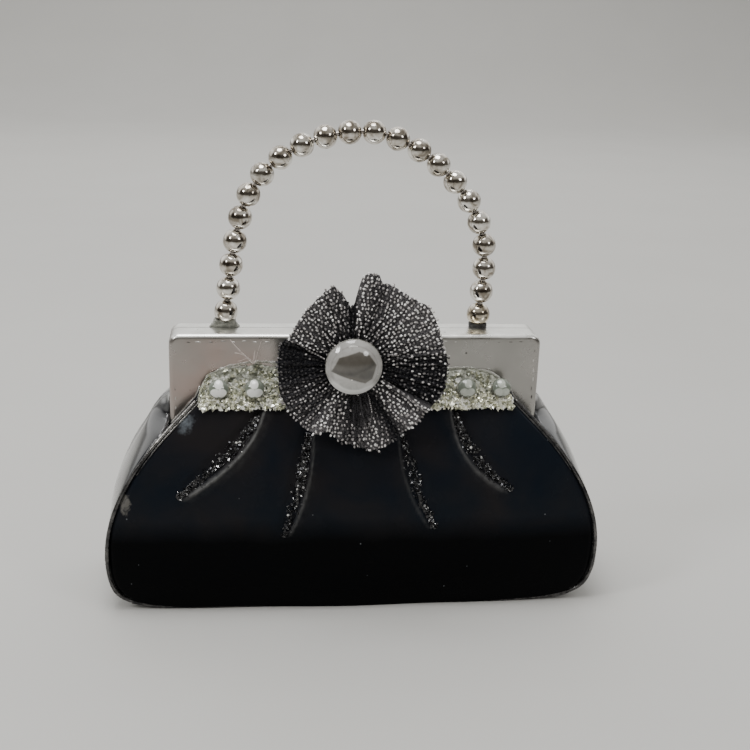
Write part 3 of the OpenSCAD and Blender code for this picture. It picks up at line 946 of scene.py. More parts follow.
def stitches():
    """Pressed stitch marks below the top band and inside the two side edges."""
    heap = Heap()
    rng = np.random.default_rng(21)
    low = frame_low + 4
    spots = [(x, frame_top - 2.3, 0) for x in np.arange(-54.5, 55, 3.6)]
    spots += [(s * (frame_half_w - 2.0), z, 1) for s in (-1, 1) for z in np.arange(low, frame_top - 5, 3.2)]
    for x, z, upright in spots:
        if rng.random() < 0.16:
            continue
        x, z = x + rng.normal(0, 0.25), z + rng.normal(0, 0.12)
        long, wide = rng.uniform(0.6, 0.95), rng.uniform(0.17, 0.26)
        u, w = ((0, 0, 1), (1, 0, 0)) if upright else ((1, 0, 0), (0, 0, 1))
        profile = [(math.sin(a), -math.cos(a)) for a in np.radians(np.linspace(8, 172, 7))]
        points, faces = lathe(profile, np.zeros(3), (1, 0, 0), 8)
        y = face_y - 0.02 + (0.12 if upright else 0)
        scaled = points * (long, wide, 0.16)
        heap.add(
            turned(scaled, np.array(u, float), np.array(w, float), np.array((0.0, 1.0, 0.0)), (x, y, z)),
            faces
        )
    placed(heap.make("frame_stitches", STITCH_MARK), ROOT, "frame_silver")


def kiss_lock():
    """Two balls on leaning stems, that snap past each other."""
    for node, body in (("kiss_lock_front", ROOT), ("kiss_lock_rear", REAR)):
        low, high = box_mm(node)
        x = (low[0] + high[0]) / 2
        ball_r = 2.4
        ball = np.array([x, 0.6 if body == ROOT else 1.4, high[2] - ball_r])
        foot = np.array([x, -1.5 if body == ROOT else 3.4, frame_top])
        heap = Heap()
        washer = [
            (0.5, -frame_t - 0.7), (1.3, -frame_t - 0.7), (1.5, -frame_t - 0.5), (1.5, -frame_t),
            (0.8, -frame_t), (0.8, 0)
        ]
        washer += [(1.6, 0.0), (1.6, 0.5), (1.3, 0.8), (0.5, 0.8)]
        heap.add(*lathe(washer, foot, (0, 0, 1), 32))
        lean = ball - foot
        long = np.linalg.norm(lean)
        stem = [(0.95, 0.4), (0.78, long * 0.45), (0.9, long - 1.9), (1.15, long - 1.75)]
        ball_profile = [
            (ball_r * math.sin(a), long - ball_r * math.cos(a)) for a in np.radians(np.linspace(32, 179, 20))
        ]
        heap.add(*lathe(stem + ball_profile, foot, lean, 40))
        placed(crisp(heap.make(node + "_ball", PLATED), 40), body, "clasp_silver", node)


# ---- handle ---------------------------------------------------------------

wire_r = 0.8
handle_y = (box_mm("handle_wire")[0][1] + box_mm("handle_wire")[1][1]) / 2
WIRE_ROUTE = np.concatenate(
    [
        [(-42.8, frame_top - 4)],
        curve([(-42.8, frame_top + 0.5), (-41.2, 108.5), (-40, 116.8), (-37.6, 126.5)], 12),
        curve([(-37.6, 126.5), (-33, 145.1), (-14, 153.6), (2, 153.6)], 14)[1:],
        curve([(2, 153.6), (17, 153.6), (40, 136), (42, 116)], 14)[1:],
        curve([(42, 116), (42.6, 107), (41.2, 99.5), (41, frame_top + 0.5)], 12)[1:],
        [(41, frame_top - 4)],
    ]
)


def wire():
    line = resample([(x, handle_y, z) for x, z in WIRE_ROUTE], 1.0)
    obj = add_mesh("handle_wire_rod", *tube(line, wire_r, 16), WIRE)
    placed(crisp(obj, 50), REAR, "handle_wire", "handle_wire")


def beads():
    """Cast beads with a soft shoulder round the bore; each is a little different."""
    centres = []
    count = sum(1 for n in frame["nodes"] if n.startswith("bead_"))
    for i in range(1, count + 1):
        low, high = box_mm(f"bead_{i}")
        centres.append((low + high) / 2)
    centres = np.array(centres)
    along = np.gradient(centres, axis=0)
    rng = np.random.default_rng(5)
    radius, bore = 3.85, 1.2
    for i, (at, axis) in enumerate(zip(centres, along), start=1):
        first = math.degrees(math.asin((bore + 0.25) / radius))
        arc = [
            (radius * math.sin(a), -radius * math.cos(a))
            for a in np.radians(np.linspace(first, 180 - first, 26))
        ]
        tip = arc[-1][1] - 0.12
        profile = [
            (bore, 0.0), (bore, -tip + 0.2), (bore + 0.06, -tip), *arc, (bore + 0.06, tip), (bore, tip - 0.2)
        ]
        profile = [(r, h * rng.uniform(0.985, 1.0)) if k == 0 else (r, h) for k, (r, h) in enumerate(profile)]
        obj = add_mesh(f"silver_bead_{i}", *lathe(profile, at, axis, 44, closed=True), CHROME)
        placed(crisp(obj, 60), REAR, "bead_silver", f"bead_{i}")


def handle_feet():
    """A cone of dried glue under the first bead at the left, a dark rubber foot under the last."""
    left_x, right_x = WIRE_ROUTE[0][0], WIRE_ROUTE[-1][0]
    hole = wire_r + 0.15
    cone = [
        (hole, 0.02), (4.6, 0.02), (4.8, 0.2), (4.4, 0.6), (4.0, 1.3), (3.75, 2.1), (3.45, 2.5), (3.2, 2.35)
    ]
    cone += [(2.4, 1.5), (1.6, 1.0), (hole, 0.85)]
    ring = [
        (hole, 0.0), (2.9, 0.0), (3.1, 0.2), (3.1, 1.1), (2.95, 1.3), (2.6, 1.2), (1.8, 0.75), (hole, 0.5)
    ]
    for node, name, x, profile, made in (
        ("handle_collar_left", "handle_foot_glue", left_x + 0.05, cone, FOOT_GLUE),
        ("handle_collar_right", "handle_foot_rubber", right_x + 0.05, ring, DARK),
    ):
        at = np.array([x, handle_y, frame_top])
        points, faces = lathe(profile, at, (0, 0, 1), 48, closed=True)
        local = points - at
        far = smooth(2.2, 3.2, np.hypot(local[:, 0], local[:, 1]))
        local[:, :2] *= (1 + 0.07 * far * waves(local[:, 0], local[:, 1] * 1.3 + local[:, 2], 6, 5))[:, None]
        local[:, 1] = np.clip(local[:, 1], -2.35, 2.9)
        placed(crisp(add_mesh(name, local + at, faces, made), 50), REAR, "collar_dark", node)


# ---- pouch ----------------------------------------------------------------

rim_w = 0.8
skin_t = 1.0
PLEATS = [
    # line from the rosette outwards, and the side on which the lip stands (1 is the left of the line)
    ([(-32, 66), (-36, 57.5), (-45, 50), (-58, 40)], 1),
    ([(-16, 60), (-17.5, 50), (-19.5, 40), (-24, 27)], 1),
    ([(14.5, 60), (16.5, 49), (20, 39.5), (25.5, 29)], -1),
    ([(32, 66), (34, 57), (40, 48), (51, 41.5)], -1),
]
PLEAT_STRENGTH = [1.0, 1.0, 0.65, 0.85]
pleat_half_w = 2.3


def by_pleat(x, z):
    """For each pleat, what it does at these points.

    Distance from its middle line towards its lip, half width, where it acts, strength, share of its length.
    """
    for (line, lip_side), strength in zip(PLEATS, PLEAT_STRENGTH):
        mid = curve(line, 90)
        along = np.gradient(mid, axis=0)
        along /= np.linalg.norm(along, axis=1, keepdims=True)
        near = ((x[..., None] - mid[:, 0]) ** 2 + (z[..., None] - mid[:, 1]) ** 2).argmin(-1)
        dx, dz = x - mid[near, 0], z - mid[near, 1]
        across = (along[near, 0] * dz - along[near, 1] * dx) * lip_side
        beyond = np.abs(along[near, 0] * dx + along[near, 1] * dz)
        s = near / 90
        window = smooth(1.0, 0.86, s) * np.exp(-((beyond / 2.5) ** 2))
        yield across, pleat_half_w * (0.45 + 0.55 * np.sin(math.pi * s)), window, strength, s


def pleat_relief(x, z):
    """How far the skin stands up or sinks for the four pleats."""
    total = np.zeros(x.shape)
    for across, half, window, strength, _ in by_pleat(x, z):
        valley = -0.75 * smooth(half + 0.25, half - 0.55, across) * smooth(-half - 2.2, -half + 0.3, across)
        lip = 1.25 * smooth(
            half - 0.35, half + 0.7, across
        ) * np.exp(-np.maximum(across - half - 0.6, 0) / 2.4)
        total += strength * window * (valley + lip)
    return total


# for each pleat: the width and amount of its lip's wear and painted highlight
PLEAT_WEAR_AND_HIGHLIGHT = [(0.62, 1.0), (0.5, 0.55), (0.55, 0.35), (0.75, 0.6)]


def pleat_wear_and_highlight(x, z):
    """How much wear and painted highlight the skin takes: most along the crest of each lip."""
    total = np.zeros(x.shape)
    for (across, half, window, _, s), (width, amount) in zip(by_pleat(x, z), PLEAT_WEAR_AND_HIGHLIGHT):
        crest = np.exp(-(((across - half - 0.55) / (width * (0.7 + 0.6 * s))) ** 2))
        soft = 0.16 * np.exp(-(((across - half - 1.5) / 2.2) ** 2))
        total = np.maximum(total, amount * np.maximum(crest, soft) * window **0.5)
    return total


def skin_grid(width_less, spacing):
    """(x, z) points over the panel's outline, row by row from the floor up."""
    rows = resample(PANEL_OUTLINE, spacing)
    columns = int(2 * half_w / spacing) | 1
    u = np.linspace(-1, 1, columns)
    x = u[None, :] * (rows[:, :1] - width_less)
    z = np.repeat(rows[:, 1:2], columns, axis=1)
    edge = (1 - np.abs(u))[None, :] * rows[:, :1]
    return x, z, edge, len(rows), columns


def front_panel():
    """The patent front: one stiffened sheet, gathered into four pleats below the rosette."""
    x, z, edge, rows, columns = skin_grid(rim_w, 0.62)
    lift = pleat_relief(x, z) + 0.16 * waves(x, z, 3, 38)
    middle = 0.9 * np.exp(-((x / 11) ** 2 + ((z - 44) / 14) ** 2))
    between_pleats = 0.7 * np.exp(-(((np.abs(x) - 31) / 8) ** 2 + ((z - 45) / 12) ** 2))
    lift = lift + (middle + between_pleats) - 0.9 * smooth(2.6, 0.0, edge) ** 2
    points = panel_point(x, z, lift).reshape(-1, 3)
    obj = add_mesh("pouch_front_skin", points, grid_faces(rows, columns), PATENT_FRONT)
    # the tone: wear and painted highlight along the pleats' lips
    set_tone(obj, pleat_wear_and_highlight(x, z).ravel())
    thicken(obj, skin_t)
    placed(obj, ROOT, "patent", "front_panel")
    return obj


def rear_panel():
    """The patent back, plain, drawn in a little near its top."""
    x, z, edge, rows, columns = skin_grid(rim_w, 1.1)
    x = x * (1 - 0.035 * smooth(56, 64, z))
    lift = 0.25 * waves(x, z, 8, 42) - 0.9 * smooth(2.6, 0.0, edge) ** 2 - 0.3 * smooth(54, 62, z)
    points = panel_point(x, z, lift, face=1).reshape(-1, 3)
    faces = [tuple(reversed(f)) for f in grid_faces(rows, columns)]
    obj = add_mesh("pouch_rear_skin", points, faces, PATENT)
    thicken(obj, skin_t)
    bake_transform(obj)
    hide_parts("rear_panel", "rear_yoke")
    return obj


gusset_top = 68.4


def gusset_section():
    """(z, half width at the rims, half width in the middle) from the floor's edge to the gusset's top."""
    rows = []
    for x, z in HEEL:
        rows.append((z, x - 0.3, x + 0.1 * smooth(2, 14, z)))
    side = np.concatenate([GUSSET_SIDE, [GUSSET_SIDE[-1] + (-0.9, gusset_top - 66.5)]])
    for x, z in side[1:]:
        panel = np.interp(z, PANEL_OUTLINE[:, 1], PANEL_OUTLINE[:, 0])
        rows.append((z, panel - 0.3, x + 0.9 * smooth(20, 40, z)))
    return np.array(rows)


def gusset_band():
    """One patent strip: down the left side, under the floor and up the right, fuller along its middle."""
    columns = 35
    side = resample(gusset_section(), 1.4)
    floor = np.linspace(-side[0, 1] + 1.5, side[0, 1] - 1.5, 60)
    across = np.linspace(-1, 1, columns)
    rows = []
    for s, section in ((-1, side[::-1]), (0, floor), (1, side)):
        for row in section:
            if s == 0:
                y = across * (panel_y(row, 0) - 1.0)
                z = 0.02 + 0.35 * (1 - across**2) * smooth(0, 20, half_w - 29 - abs(row))
                rows.append(np.stack([np.full(columns, row), y, z], 1))
                continue
            z, rim, middle = row
            full = (1 - across**2) ** 0.75
            beside = float(smooth(58.5, 62.5, z))
            low = -(panel_y(rim, z) - 1.15) * (1 - beside) + (face_y + 3.2) * beside
            high = panel_y(rim, z) - 1.15
            y = low + (across + 1) / 2 * (high - low)
            edge_x = rim * (1 - beside) + (frame_half_w + 0.35) * beside
            x = edge_x + np.maximum(middle - edge_x, 0.0) * full * (
                1 - float(smooth(64.5, gusset_top - 0.1, z)) ** 1.5
            )
            crease = 0.5 * np.exp(-((across / 0.1) ** 2)) * smooth(34, 60, z)
            rows.append(np.stack([s * (x - crease), y, np.full(columns, z) + 0.02], 1))
    points = np.concatenate(rows)
    points[:, 0] += 0.12 * waves(points[:, 1] * 2, points[:, 2], 12, 24) * smooth(10, 30, points[:, 2])
    faces = grid_faces(len(rows), columns)
    obj = add_mesh("pouch_gusset_strip", points, faces, PATENT_SIDE)
    middle = obj.data.polygons[len(obj.data.polygons) // 2]
    if middle.normal.z > 0:
        obj.data.flip_normals()
    thicken(obj, 0.8)
    placed(obj, ROOT, "patent", "gusset_left", "gusset_right", "base_panel")
    return obj


def shoulder_wings():
    """The skin turned in from each front shoulder to the frame's face, with silver cord along the join."""
    columns = 9
    last = columns - 1
    wings, cords = Heap(), Heap()
    shoulder = resample([(half_w - 20.9, 60.2), (52.0, 69.5), (50.6, 73.0)], 0.8)
    for side in (-1, 1):
        rows = []
        for x, z in shoulder:
            front, back = -(panel_y(x, z) - 0.5), face_y - 0.12
            v = np.linspace(0, 1, columns)
            sag = 0.5 * np.sin(np.pi * v)
            y = front + v * (back - front)
            rows.append(np.stack([side * (x - sag * 0.6), y, z - 0.25 - sag + 0.25 * v], 1))
        top = np.array(rows)
        under = top - (side * 0.25, 0, 0.45)
        n = len(rows)
        points = np.concatenate([top.reshape(-1, 3), under.reshape(-1, 3)])
        faces = grid_faces(n, columns)
        faces += [tuple(n * columns + i for i in reversed(f)) for f in faces]
        ring = [i * columns for i in range(n)] + [(n - 1) * columns + j for j in range(1, columns)]
        ring += [i * columns + last for i in range(n - 2, -1, -1)] + list(range(last - 1, 0, -1))
        faces += [(a, b, n * columns + b, n * columns + a) for a, b in zip(ring, ring[1:] + ring[:1])]
        wings.add(points, faces)
        line = top[:, -1] + (side * 0.1, -0.3, 0.1)
        cords.add(*tube(line, 0.42 + 0.05 * waves(line[:, 0], line[:, 2], 6, 4), 12))
    wing = face_out(wings.make("pouch_shoulder_wings", PATENT_SIDE))
    placed(wing, ROOT, "patent")
    placed(cords.make("pouch_shoulder_cord", SILVER_CORD), ROOT, "edging")


def rims():
    """Foil edging bound round each panel, with a second, finer bead beside it on the front shoulders."""
    for face, top, name, node in ((-1, 69.6, "front", "front_rim"), (1, 61.5, "rear", "rear_rim")):
        right = resample(PANEL_OUTLINE[PANEL_OUTLINE[:, 1] <= top], 0.9)
        line = np.concatenate([right[::-1], right * (-1, 1)])
        heap = Heap()
        x, z = line[:, 0] * (1 - 0.45 / half_w), line[:, 1] + 0.5 * smooth(3, 0, line[:, 1])
        base = np.stack([x, face * (panel_y(x, z) - 0.35), z], 1)
        heap.add(*tube(base, 0.62 + 0.05 * waves(x, z, 2, 9), 10))
        if face < 0:
            for side in (-1, 1):
                part = right[right[:, 1] > 47] * (side, 1)
                t = smooth(47, 58, part[:, 1])
                x = part[:, 0] - side * 1.55
                lifted = panel_point(x, part[:, 1], np.full(len(part), 0.12))
                heap.add(*tube(lifted, 0.12 + 0.12 * t, 8, flat=0.7))
        placed(heap.make(f"pouch_{name}_edging", EDGING), ROOT, "edging", node)


def lining():
    """A loose satin bag inside the pouch, open at the frame."""
    sides, rows = 150, 26
    points = []
    angles = np.linspace(0, math.tau, sides, endpoint=False)
    heights = np.linspace(2.6, 62, rows)
    for z in heights:
        half_x = np.interp(z, HEEL[:, 1], HEEL[:, 0]) if z < 20 else np.interp(
            z, GUSSET_SIDE[:, 1], GUSSET_SIDE[:, 0]
        )
        a, b = half_x - 3.6, depth_at(z) - 2.6
        c, s = np.cos(angles), np.sin(angles)
        r = (np.abs(c) ** 7 + np.abs(s) ** 7) ** (-1 / 7)
        folds = 0.5 * waves(angles * 30, np.full(sides, z * 0.6), 14, 16) * smooth(3, 20, z)
        x, y = (a - 0.3) * r * c + folds * c, (b - 0.5) * r * s + folds * s
        drop = 3.0 + 4.5 * smooth(-0.2, 0.8, s)
        points.append(np.stack([x, y, z - drop * (z / heights[-1])], 1))
    points = np.concatenate(points)
    faces = grid_faces(rows, sides, wrap_columns=True) + [tuple(range(sides - 1, -1, -1))]
    obj = add_mesh("lining_bag", points, faces, SATIN)
    thicken(obj, 0.4, offset=1.0)
    placed(obj, ROOT, "lining", "lining_front", "lining_rear", "lining_left", "lining_right", "lining_base")
    return obj


# ---- glitter band and gems ------------------------------------------------

BAND_TOP = [
    # (x, height of the upper edge)
    (-51.5, 69.5),
    (-50.6, 73.5),
    (-48.5, 77.2),
    (-43.6, 79.0),
    (-37.9, 79.8),
    (-30.9, 81.0),
    (-25, 79.2),
    (0, 78.5),
    (28.6, 78.2),
    (36.4, 78.9),
    (43.1, 78.0),
    (47.6, 75.2),
    (50.8, 70.8),
    (51.5, 68.5),
]
band_low = box_mm("glitter_band")[0][2]
bed_half_w = 51.3
shard_half_w = 50.8
shard_count = 2300


def band_top(x):
    top = np.array(BAND_TOP)
    return np.interp(x, top[:, 0], top[:, 1])


def band_surface(x, z, lift):
    """A point on the band: over the panel's top edge, then back onto the frame's face."""
    over = depth_at(np.minimum(z, 76.0)) + 0.5
    back = np.interp(z, [74.5, 77.5, 80.5], [0.0, -1.5, -2.6])
    return np.stack([x, -(np.maximum(over + back, -face_y + 0.1) + lift), z], -1)


def band_bed():
    columns, rows = 260, 26
    x = np.linspace(-bed_half_w, bed_half_w, columns)[None, :].repeat(rows, 0)
    v = np.linspace(0, 1, rows)[:, None]
    low = band_low + 0.5 + 0.25 * waves(x[0], x[0] * 0, 17, 6)
    z = low + v * (band_top(x) - low)
    body = np.sin(np.pi * np.clip(v, 0.02, 0.98)) ** 0.35
    lumps = 0.28 * waves(x, z, 19, 3.2) + 0.22 * waves(x, z, 23, 1.6)
    taper = smooth(51.4, 48.5, np.abs(x))
    points = band_surface(x, z, -0.6 + (1.1 + lumps) * body * taper)
    obj = add_mesh("band_glue_bed", points.reshape(-1, 3), grid_faces(rows, columns), GLUE_BED)
    thicken(obj, 0.5)
    placed(obj, ROOT, "band_glitter", "glitter_band")


def band_shards():
    """Crushed glass: loose angular pieces, packed along the lower edge and thinner towards the top."""
    rng = np.random.default_rng(41)
    heap = Heap()
    solid, faces = OCTAHEDRON
    made = 0
    while made < shard_count:
        x = rng.uniform(-shard_half_w, shard_half_w)
        top = band_top(x)
        v = rng.beta(0.95, 1.5)
        z = band_low + 0.1 + v * (top - band_low - 0.4)
        if z < band_low + 0.5 and rng.random() < 0.3:
            continue
        near = min(math.hypot(x - gx, (z - gz) * 0.95) for gx, _, gz in GEMS)
        if near < 3.2:
            continue
        size = rng.uniform(0.45, 0.9) * (1.3 if z < band_low + 3.2 else 1.0)
        sizes = size * rng.uniform(0.55, 1.2, 3) * (1.0, 1.0, 0.75)
        u, v_axis, w = random_axes(rng)
        at = band_surface(np.array(x), np.array(z), 0.35 + rng.uniform(-0.15, 0.45))
        shape = solid * sizes * rng.uniform(0.75, 1.15, (6, 1))
        tone = np.clip(rng.normal(0.5, 0.3) + 0.24 * (z < band_low + 4.2) - 0.1 * (v > 0.62), 0, 1)
        heap.add(turned(shape, u, v_axis, w, at), faces, tone)
        made += 1
    placed(heap.make("band_crushed_glass", GLASS, smooth_shading=False), ROOT, "band_glitter")


gem_low, gem_high = box_mm("band_gems")
gem_r = 3.0
gem_tilt = math.radians(26)
gem_count = 9
gem_facing = np.array([0.0, -math.cos(gem_tilt), math.sin(gem_tilt)])
gem_x = np.linspace(gem_low[0] + gem_r, gem_high[0] - gem_r, gem_count)
GEMS = [(x, gem_low[1] + 1.5, (gem_low[2] + gem_high[2]) / 2 - 0.35) for x in gem_x]


def dome_profile(radius, girdle, rise, steps=14):
    """(radius, height) of a cabochon from the middle of its back to the top of its dome."""
    ball = (radius**2 + rise**2) / (2 * rise)
    edge = math.asin(min(1.0, radius / ball))
    arc = [
        (ball * math.sin(a), girdle + rise - ball + ball * math.cos(a))
        for a in np.linspace(edge, 0.004, steps)
    ]
    return [(0.01, 0.0), (radius - 0.25, 0.0), (radius, 0.2), *arc]


def gems():
    stones, seats = Heap(), Heap()
    rng = np.random.default_rng(51)
    for number, (x, y, z) in enumerate(GEMS):
        facing = gem_facing + rng.normal(0, 0.035, 3)
        at = np.array([x, y + 0.35, z])
        points, faces = lathe(dome_profile(gem_r, 0.5, 1.35, 20), at, facing, 64)
        across, up = points[:, 0] - x, points[:, 2] - z
        # painted highlights: a two-lobed patch low on each stone and a dot above it, dimmer on the last two
        low = smooth(1.2, 0.85, np.hypot((np.abs(across) - 1.0) / 1.55, (up + 0.95) / 1.4))
        high = smooth(1.2, 0.85, np.hypot((across + 0.3 * math.sin(9 * x)) / 1.35, (up - 1.6) / 1.25))
        lit = 1.0 if number < gem_count - 2 else 0.55
        tone = np.maximum(0.2 + 0.12 * smooth(2.4, 2.95, np.hypot(across, up)), lit * np.maximum(low, high))
        stones.add(points, faces, tone)
        seat = [
            (0.01, -0.35), (gem_r + 0.05, -0.35), (gem_r + 0.18, -0.1), (gem_r + 0.12, 0.12),
            (gem_r - 0.15, -0.06), (0.01, -0.06)
        ]
        seats.add(*lathe(seat, at, facing, 40))
    placed(crisp(stones.make("band_gem_stones", GEM), 50), ROOT, "gem_clear", "band_gems")
    placed(crisp(seats.make("band_gem_seats", FOIL), 50), ROOT, "gem_clear")


def glue_ridges():
    """Clear glue squeezed out above the band, and strings of it across the frame's face."""
    heap = Heap()
    ridges = [
        ([(-45.5, 78.2), (-42, 79.9), (-38, 80.2), (-34.2, 81.2)], 0.55),
        ([(-34.5, 80.6), (-31.5, 81.6), (-28, 81.0), (-24.5, 80.2)], 0.6),
        ([(-47.5, 77.4), (-44, 79.0), (-40, 79.3), (-36, 79.6)], 0.45),
        ([(27, 78.2), (31, 79.4), (35, 79.2), (39, 79.0)], 0.45),
        ([(40, 78.4), (44, 78.2), (47, 76.2), (49.2, 73.2)], 0.5),
    ]
    for number, (line, radius) in enumerate(ridges):
        xz = curve(line, 36)
        size = radius * (0.55 + 0.45 * np.sin(np.linspace(0.15, 3.0, 37))) * (
            1 + 0.35 * waves(xz[:, 0], xz[:, 1], 60 + number, 3)
        )
        heap.add(*tube(band_surface(xz[:, 0], xz[:, 1], -0.1), size, 10, flat=0.8))
    placed(heap.make("band_glue_ridges", GLUE), ROOT, "band_glitter")
    strings = Heap()
    hairs = [
        ([(-33.6, 80.4), (-35.8, 83.0), (-38.6, 85.2), (-41.0, 88.6)], 0.24),
        ([(-33.2, 80.6), (-35.0, 82.6), (-37.0, 84.0), (-39.6, 84.2)], 0.17),
        ([(-33.3, 80.5), (-33.5, 82.0), (-33.3, 83.6), (-33.1, 85.0)], 0.27),
        ([(-33.0, 80.9), (-32.6, 83.0), (-32.0, 85.4), (-31.2, 88.0)], 0.13),
        ([(-38.5, 81.4), (-37.2, 81.5), (-36.2, 82.4), (-35.2, 82.3)], 0.08),
    ]
    for line, radius in hairs:
        xz = curve(line, 24)
        y = face_y - 0.05 - 0.05 * np.sin(np.linspace(0, 9, 25))
        strings.add(*tube(np.stack([xz[:, 0], y, xz[:, 1]], 1), radius * np.linspace(1.1, 0.5, 25), 8))
    placed(strings.make("frame_glue_strings", GLUE_STRING), ROOT, "frame_silver")


def pleat_glitter():
    """Black glitter in each pleat's valley: a glue bed and loose flakes at all angles."""
    rng = np.random.default_rng(71)
    for number, ((line, _), strength) in enumerate(zip(PLEATS, PLEAT_STRENGTH), start=1):
        steps = 60
        mid = curve(line, steps)
        along = np.gradient(mid, axis=0)
        along /= np.linalg.norm(along, axis=1, keepdims=True)
        side = np.stack([-along[:, 1], along[:, 0]], 1)
        s = np.linspace(0, 1, steps + 1)
        half = pleat_half_w * (0.45 + 0.55 * np.sin(np.pi * s)) * (1 + 0.1 * waves(s * 40, s, 80 + number, 5))
        across = np.linspace(-1, 1, 9)
        grid = mid[:, None, :] + (half[:, None] * across[None, :] * 0.92)[..., None] * side[:, None, :]
        x, z = grid[..., 0], grid[..., 1]
        lumps = 0.16 * waves(x, z, 90 + number, 1.7)
        lift = pleat_relief(x, z) + 0.1 + lumps - 0.25 * np.abs(across) ** 4
        points = panel_point(x, z, lift).reshape(-1, 3)
        bed = add_mesh(f"pleat_bed_{number}", points, grid_faces(steps + 1, 9), PLEAT_BED)
        if bed.data.polygons[40].normal.y > 0:
            bed.data.flip_normals()
        thicken(bed, 0.25)
        placed(bed, ROOT, "pleat_glitter", f"pleat_glitter_{number}")
        heap = Heap()
        for _ in range(int(300 * (0.6 + 0.4 * strength))):
            k = rng.integers(1, steps)
            a = np.clip(rng.normal(0, 0.5), -0.98, 0.98)
            at_xz = mid[k] + half[k] * a * side[k] + rng.normal(0, 0.15, 2)
            fx, fz = np.array(at_xz[0]), np.array(at_xz[1])
            level = float(pleat_relief(fx, fz)) + 0.28 + rng.uniform(-0.1, 0.25)
            at = panel_point(fx, fz, np.array(level))
            u, v, w = random_axes(rng)
            u, w = u * (1, 0.55, 1), w * (1, 1.3, 1)
            r = rng.uniform(0.28, 0.52)
            ring = [(r * math.cos(q), r * math.sin(q), 0.0) for q in np.arange(6) * math.tau / 6]
            flake = np.array(ring + [(px, py, 0.06) for px, py, _ in ring])
            sides = [(i, (i + 1) % 6, 6 + (i + 1) % 6, 6 + i) for i in range(6)]
            tone = 1.0 if rng.random() < 0.07 * strength else rng.uniform(0.1, 0.85)
            heap.add(turned(flake, u, v, w, at), [(5, 4, 3, 2, 1, 0), (6, 7, 8, 9, 10, 11), *sides], tone)
        flakes = heap.make(f"pleat_flakes_{number}", FLAKE, smooth_shading=False)
        placed(flakes, ROOT, "pleat_glitter")


# ---- rosette --------------------------------------------------------------

ROSETTE = np.array(
    [
        # angle from +X, radius of the edge, how far the edge stands forward, tone of the grains as painted
        # light and shade of the lobe
        (-5, 30.3, 1, 0.14),
        (4.3, 30.2, 1.6, 0.2),
        (11.8, 29.3, 3, 0.5),
        (22.8, 29.3, 3.6, 0.74),
        (33, 29.8, 3.5, 0.8),
        (40.6, 30.2, 3.4, 0.82),
        (52, 28.5, 3, 0.78),
        (60, 28.4, 2.6, 0.7),
        (66.6, 28.6, 2, 0.52),
        (72.4, 28, 1.4, 0.45),
        (76.2, 30.4, 2.2, 0.62),
        (82, 30.7, 3.2, 0.82),
        (86.3, 29.2, 3, 0.8),
        (88, 24.4, 1.2, 0.5),
        (90, 20.5, 0.4, 0.2),
        (93.2, 18.4, 0, 0.1),
        (96.3, 20.6, 0.4, 0.2),
        (100.3, 24.1, 1.2, 0.42),
        (104.8, 26.7, 1.8, 0.52),
        (110, 26.1, 2.2, 0.58),
        (120.6, 24.7, 2.8, 0.64),
        (137, 23.4, 3.2, 0.68),
        (150, 22.8, 3.8, 0.66),
        (156, 23, 4.6, 0.8),
        (158.5, 23.4, 1.6, 0.12),
        (165.6, 24.1, 0.8, 0.08),
        (176.5, 24, 0.8, 0.08),
        (189.4, 24.1, 0.9, 0.12),
        (201.7, 25.1, 1.6, 0.28),
        (217, 25.1, 2.3, 0.36),
        (228, 25.6, 2, 0.36),
        (236, 26, 2.8, 0.52),
        (241, 25.2, 4.4, 0.9),
        (244.5, 24.6, 4.8, 1),
        (248, 23, 3.4, 0.7),
        (254, 23.8, 2.4, 0.6),
        (260, 25.4, 2.2, 0.62),
        (264, 26.4, 0.8, 0.4),
        (273.8, 27.9, 0.5, 0.4),
        (281, 29.2, 1.6, 0.6),
        (286.4, 29.9, 2.2, 0.68),
        (292, 29.7, 2, 0.62),
        (298, 29.3, 1.2, 0.3),
        (302, 28.4, 0.4, 0.04),
        (307, 28.2, 1.8, 0.5),
        (313.8, 28.3, 3.8, 0.88),
        (320, 28, 4, 0.86),
        (325, 27.8, 3, 0.5),
        (330, 28.4, 4.4, 0.92),
        (333, 29.6, 0.8, 0.06),
        (342.5, 31, 0.6, 0.1),
        (355, 30.3, 1, 0.14),
    ]
)
cloth_back_y = flower[1] - 1.2


def around(angle, column):
    """A column of ROSETTE at an angle in degrees, straight between its rows, so that folds are creased."""
    return np.interp(angle, ROSETTE[:, 0], ROSETTE[:, column], period=360)


def rosette_point(angle, r, off=0.0):
    """A point on the gathered net at an angle in degrees and a distance from the middle."""
    a = np.radians(angle)
    edge = around(angle, 1)
    share = np.clip((r - 7.5) / (edge - 7.5), 0, 1.05)
    lift = around(angle, 2) * share**1.15
    gathers = 0.42 * (1 - 0.55 * share) * np.sin(
        41 * a + 1.6 * np.sin(3 * a)
    ) + 0.25 * np.sin(67 * a + 2.2 * np.sin(5 * a))
    turn = (angle + 180) % 360 - 180
    right = smooth(-32, -24, turn) * smooth(14, 8, turn)
    ribs = 0.75 * right * np.cos(np.radians(45 * (turn + 2))) ** 2
    y = cloth_back_y - 0.9 * (1 - share) - lift - gathers - ribs * share - off
    return np.stack([flower[0] + r * np.cos(a), y, flower[2] + r * np.sin(a)], -1)


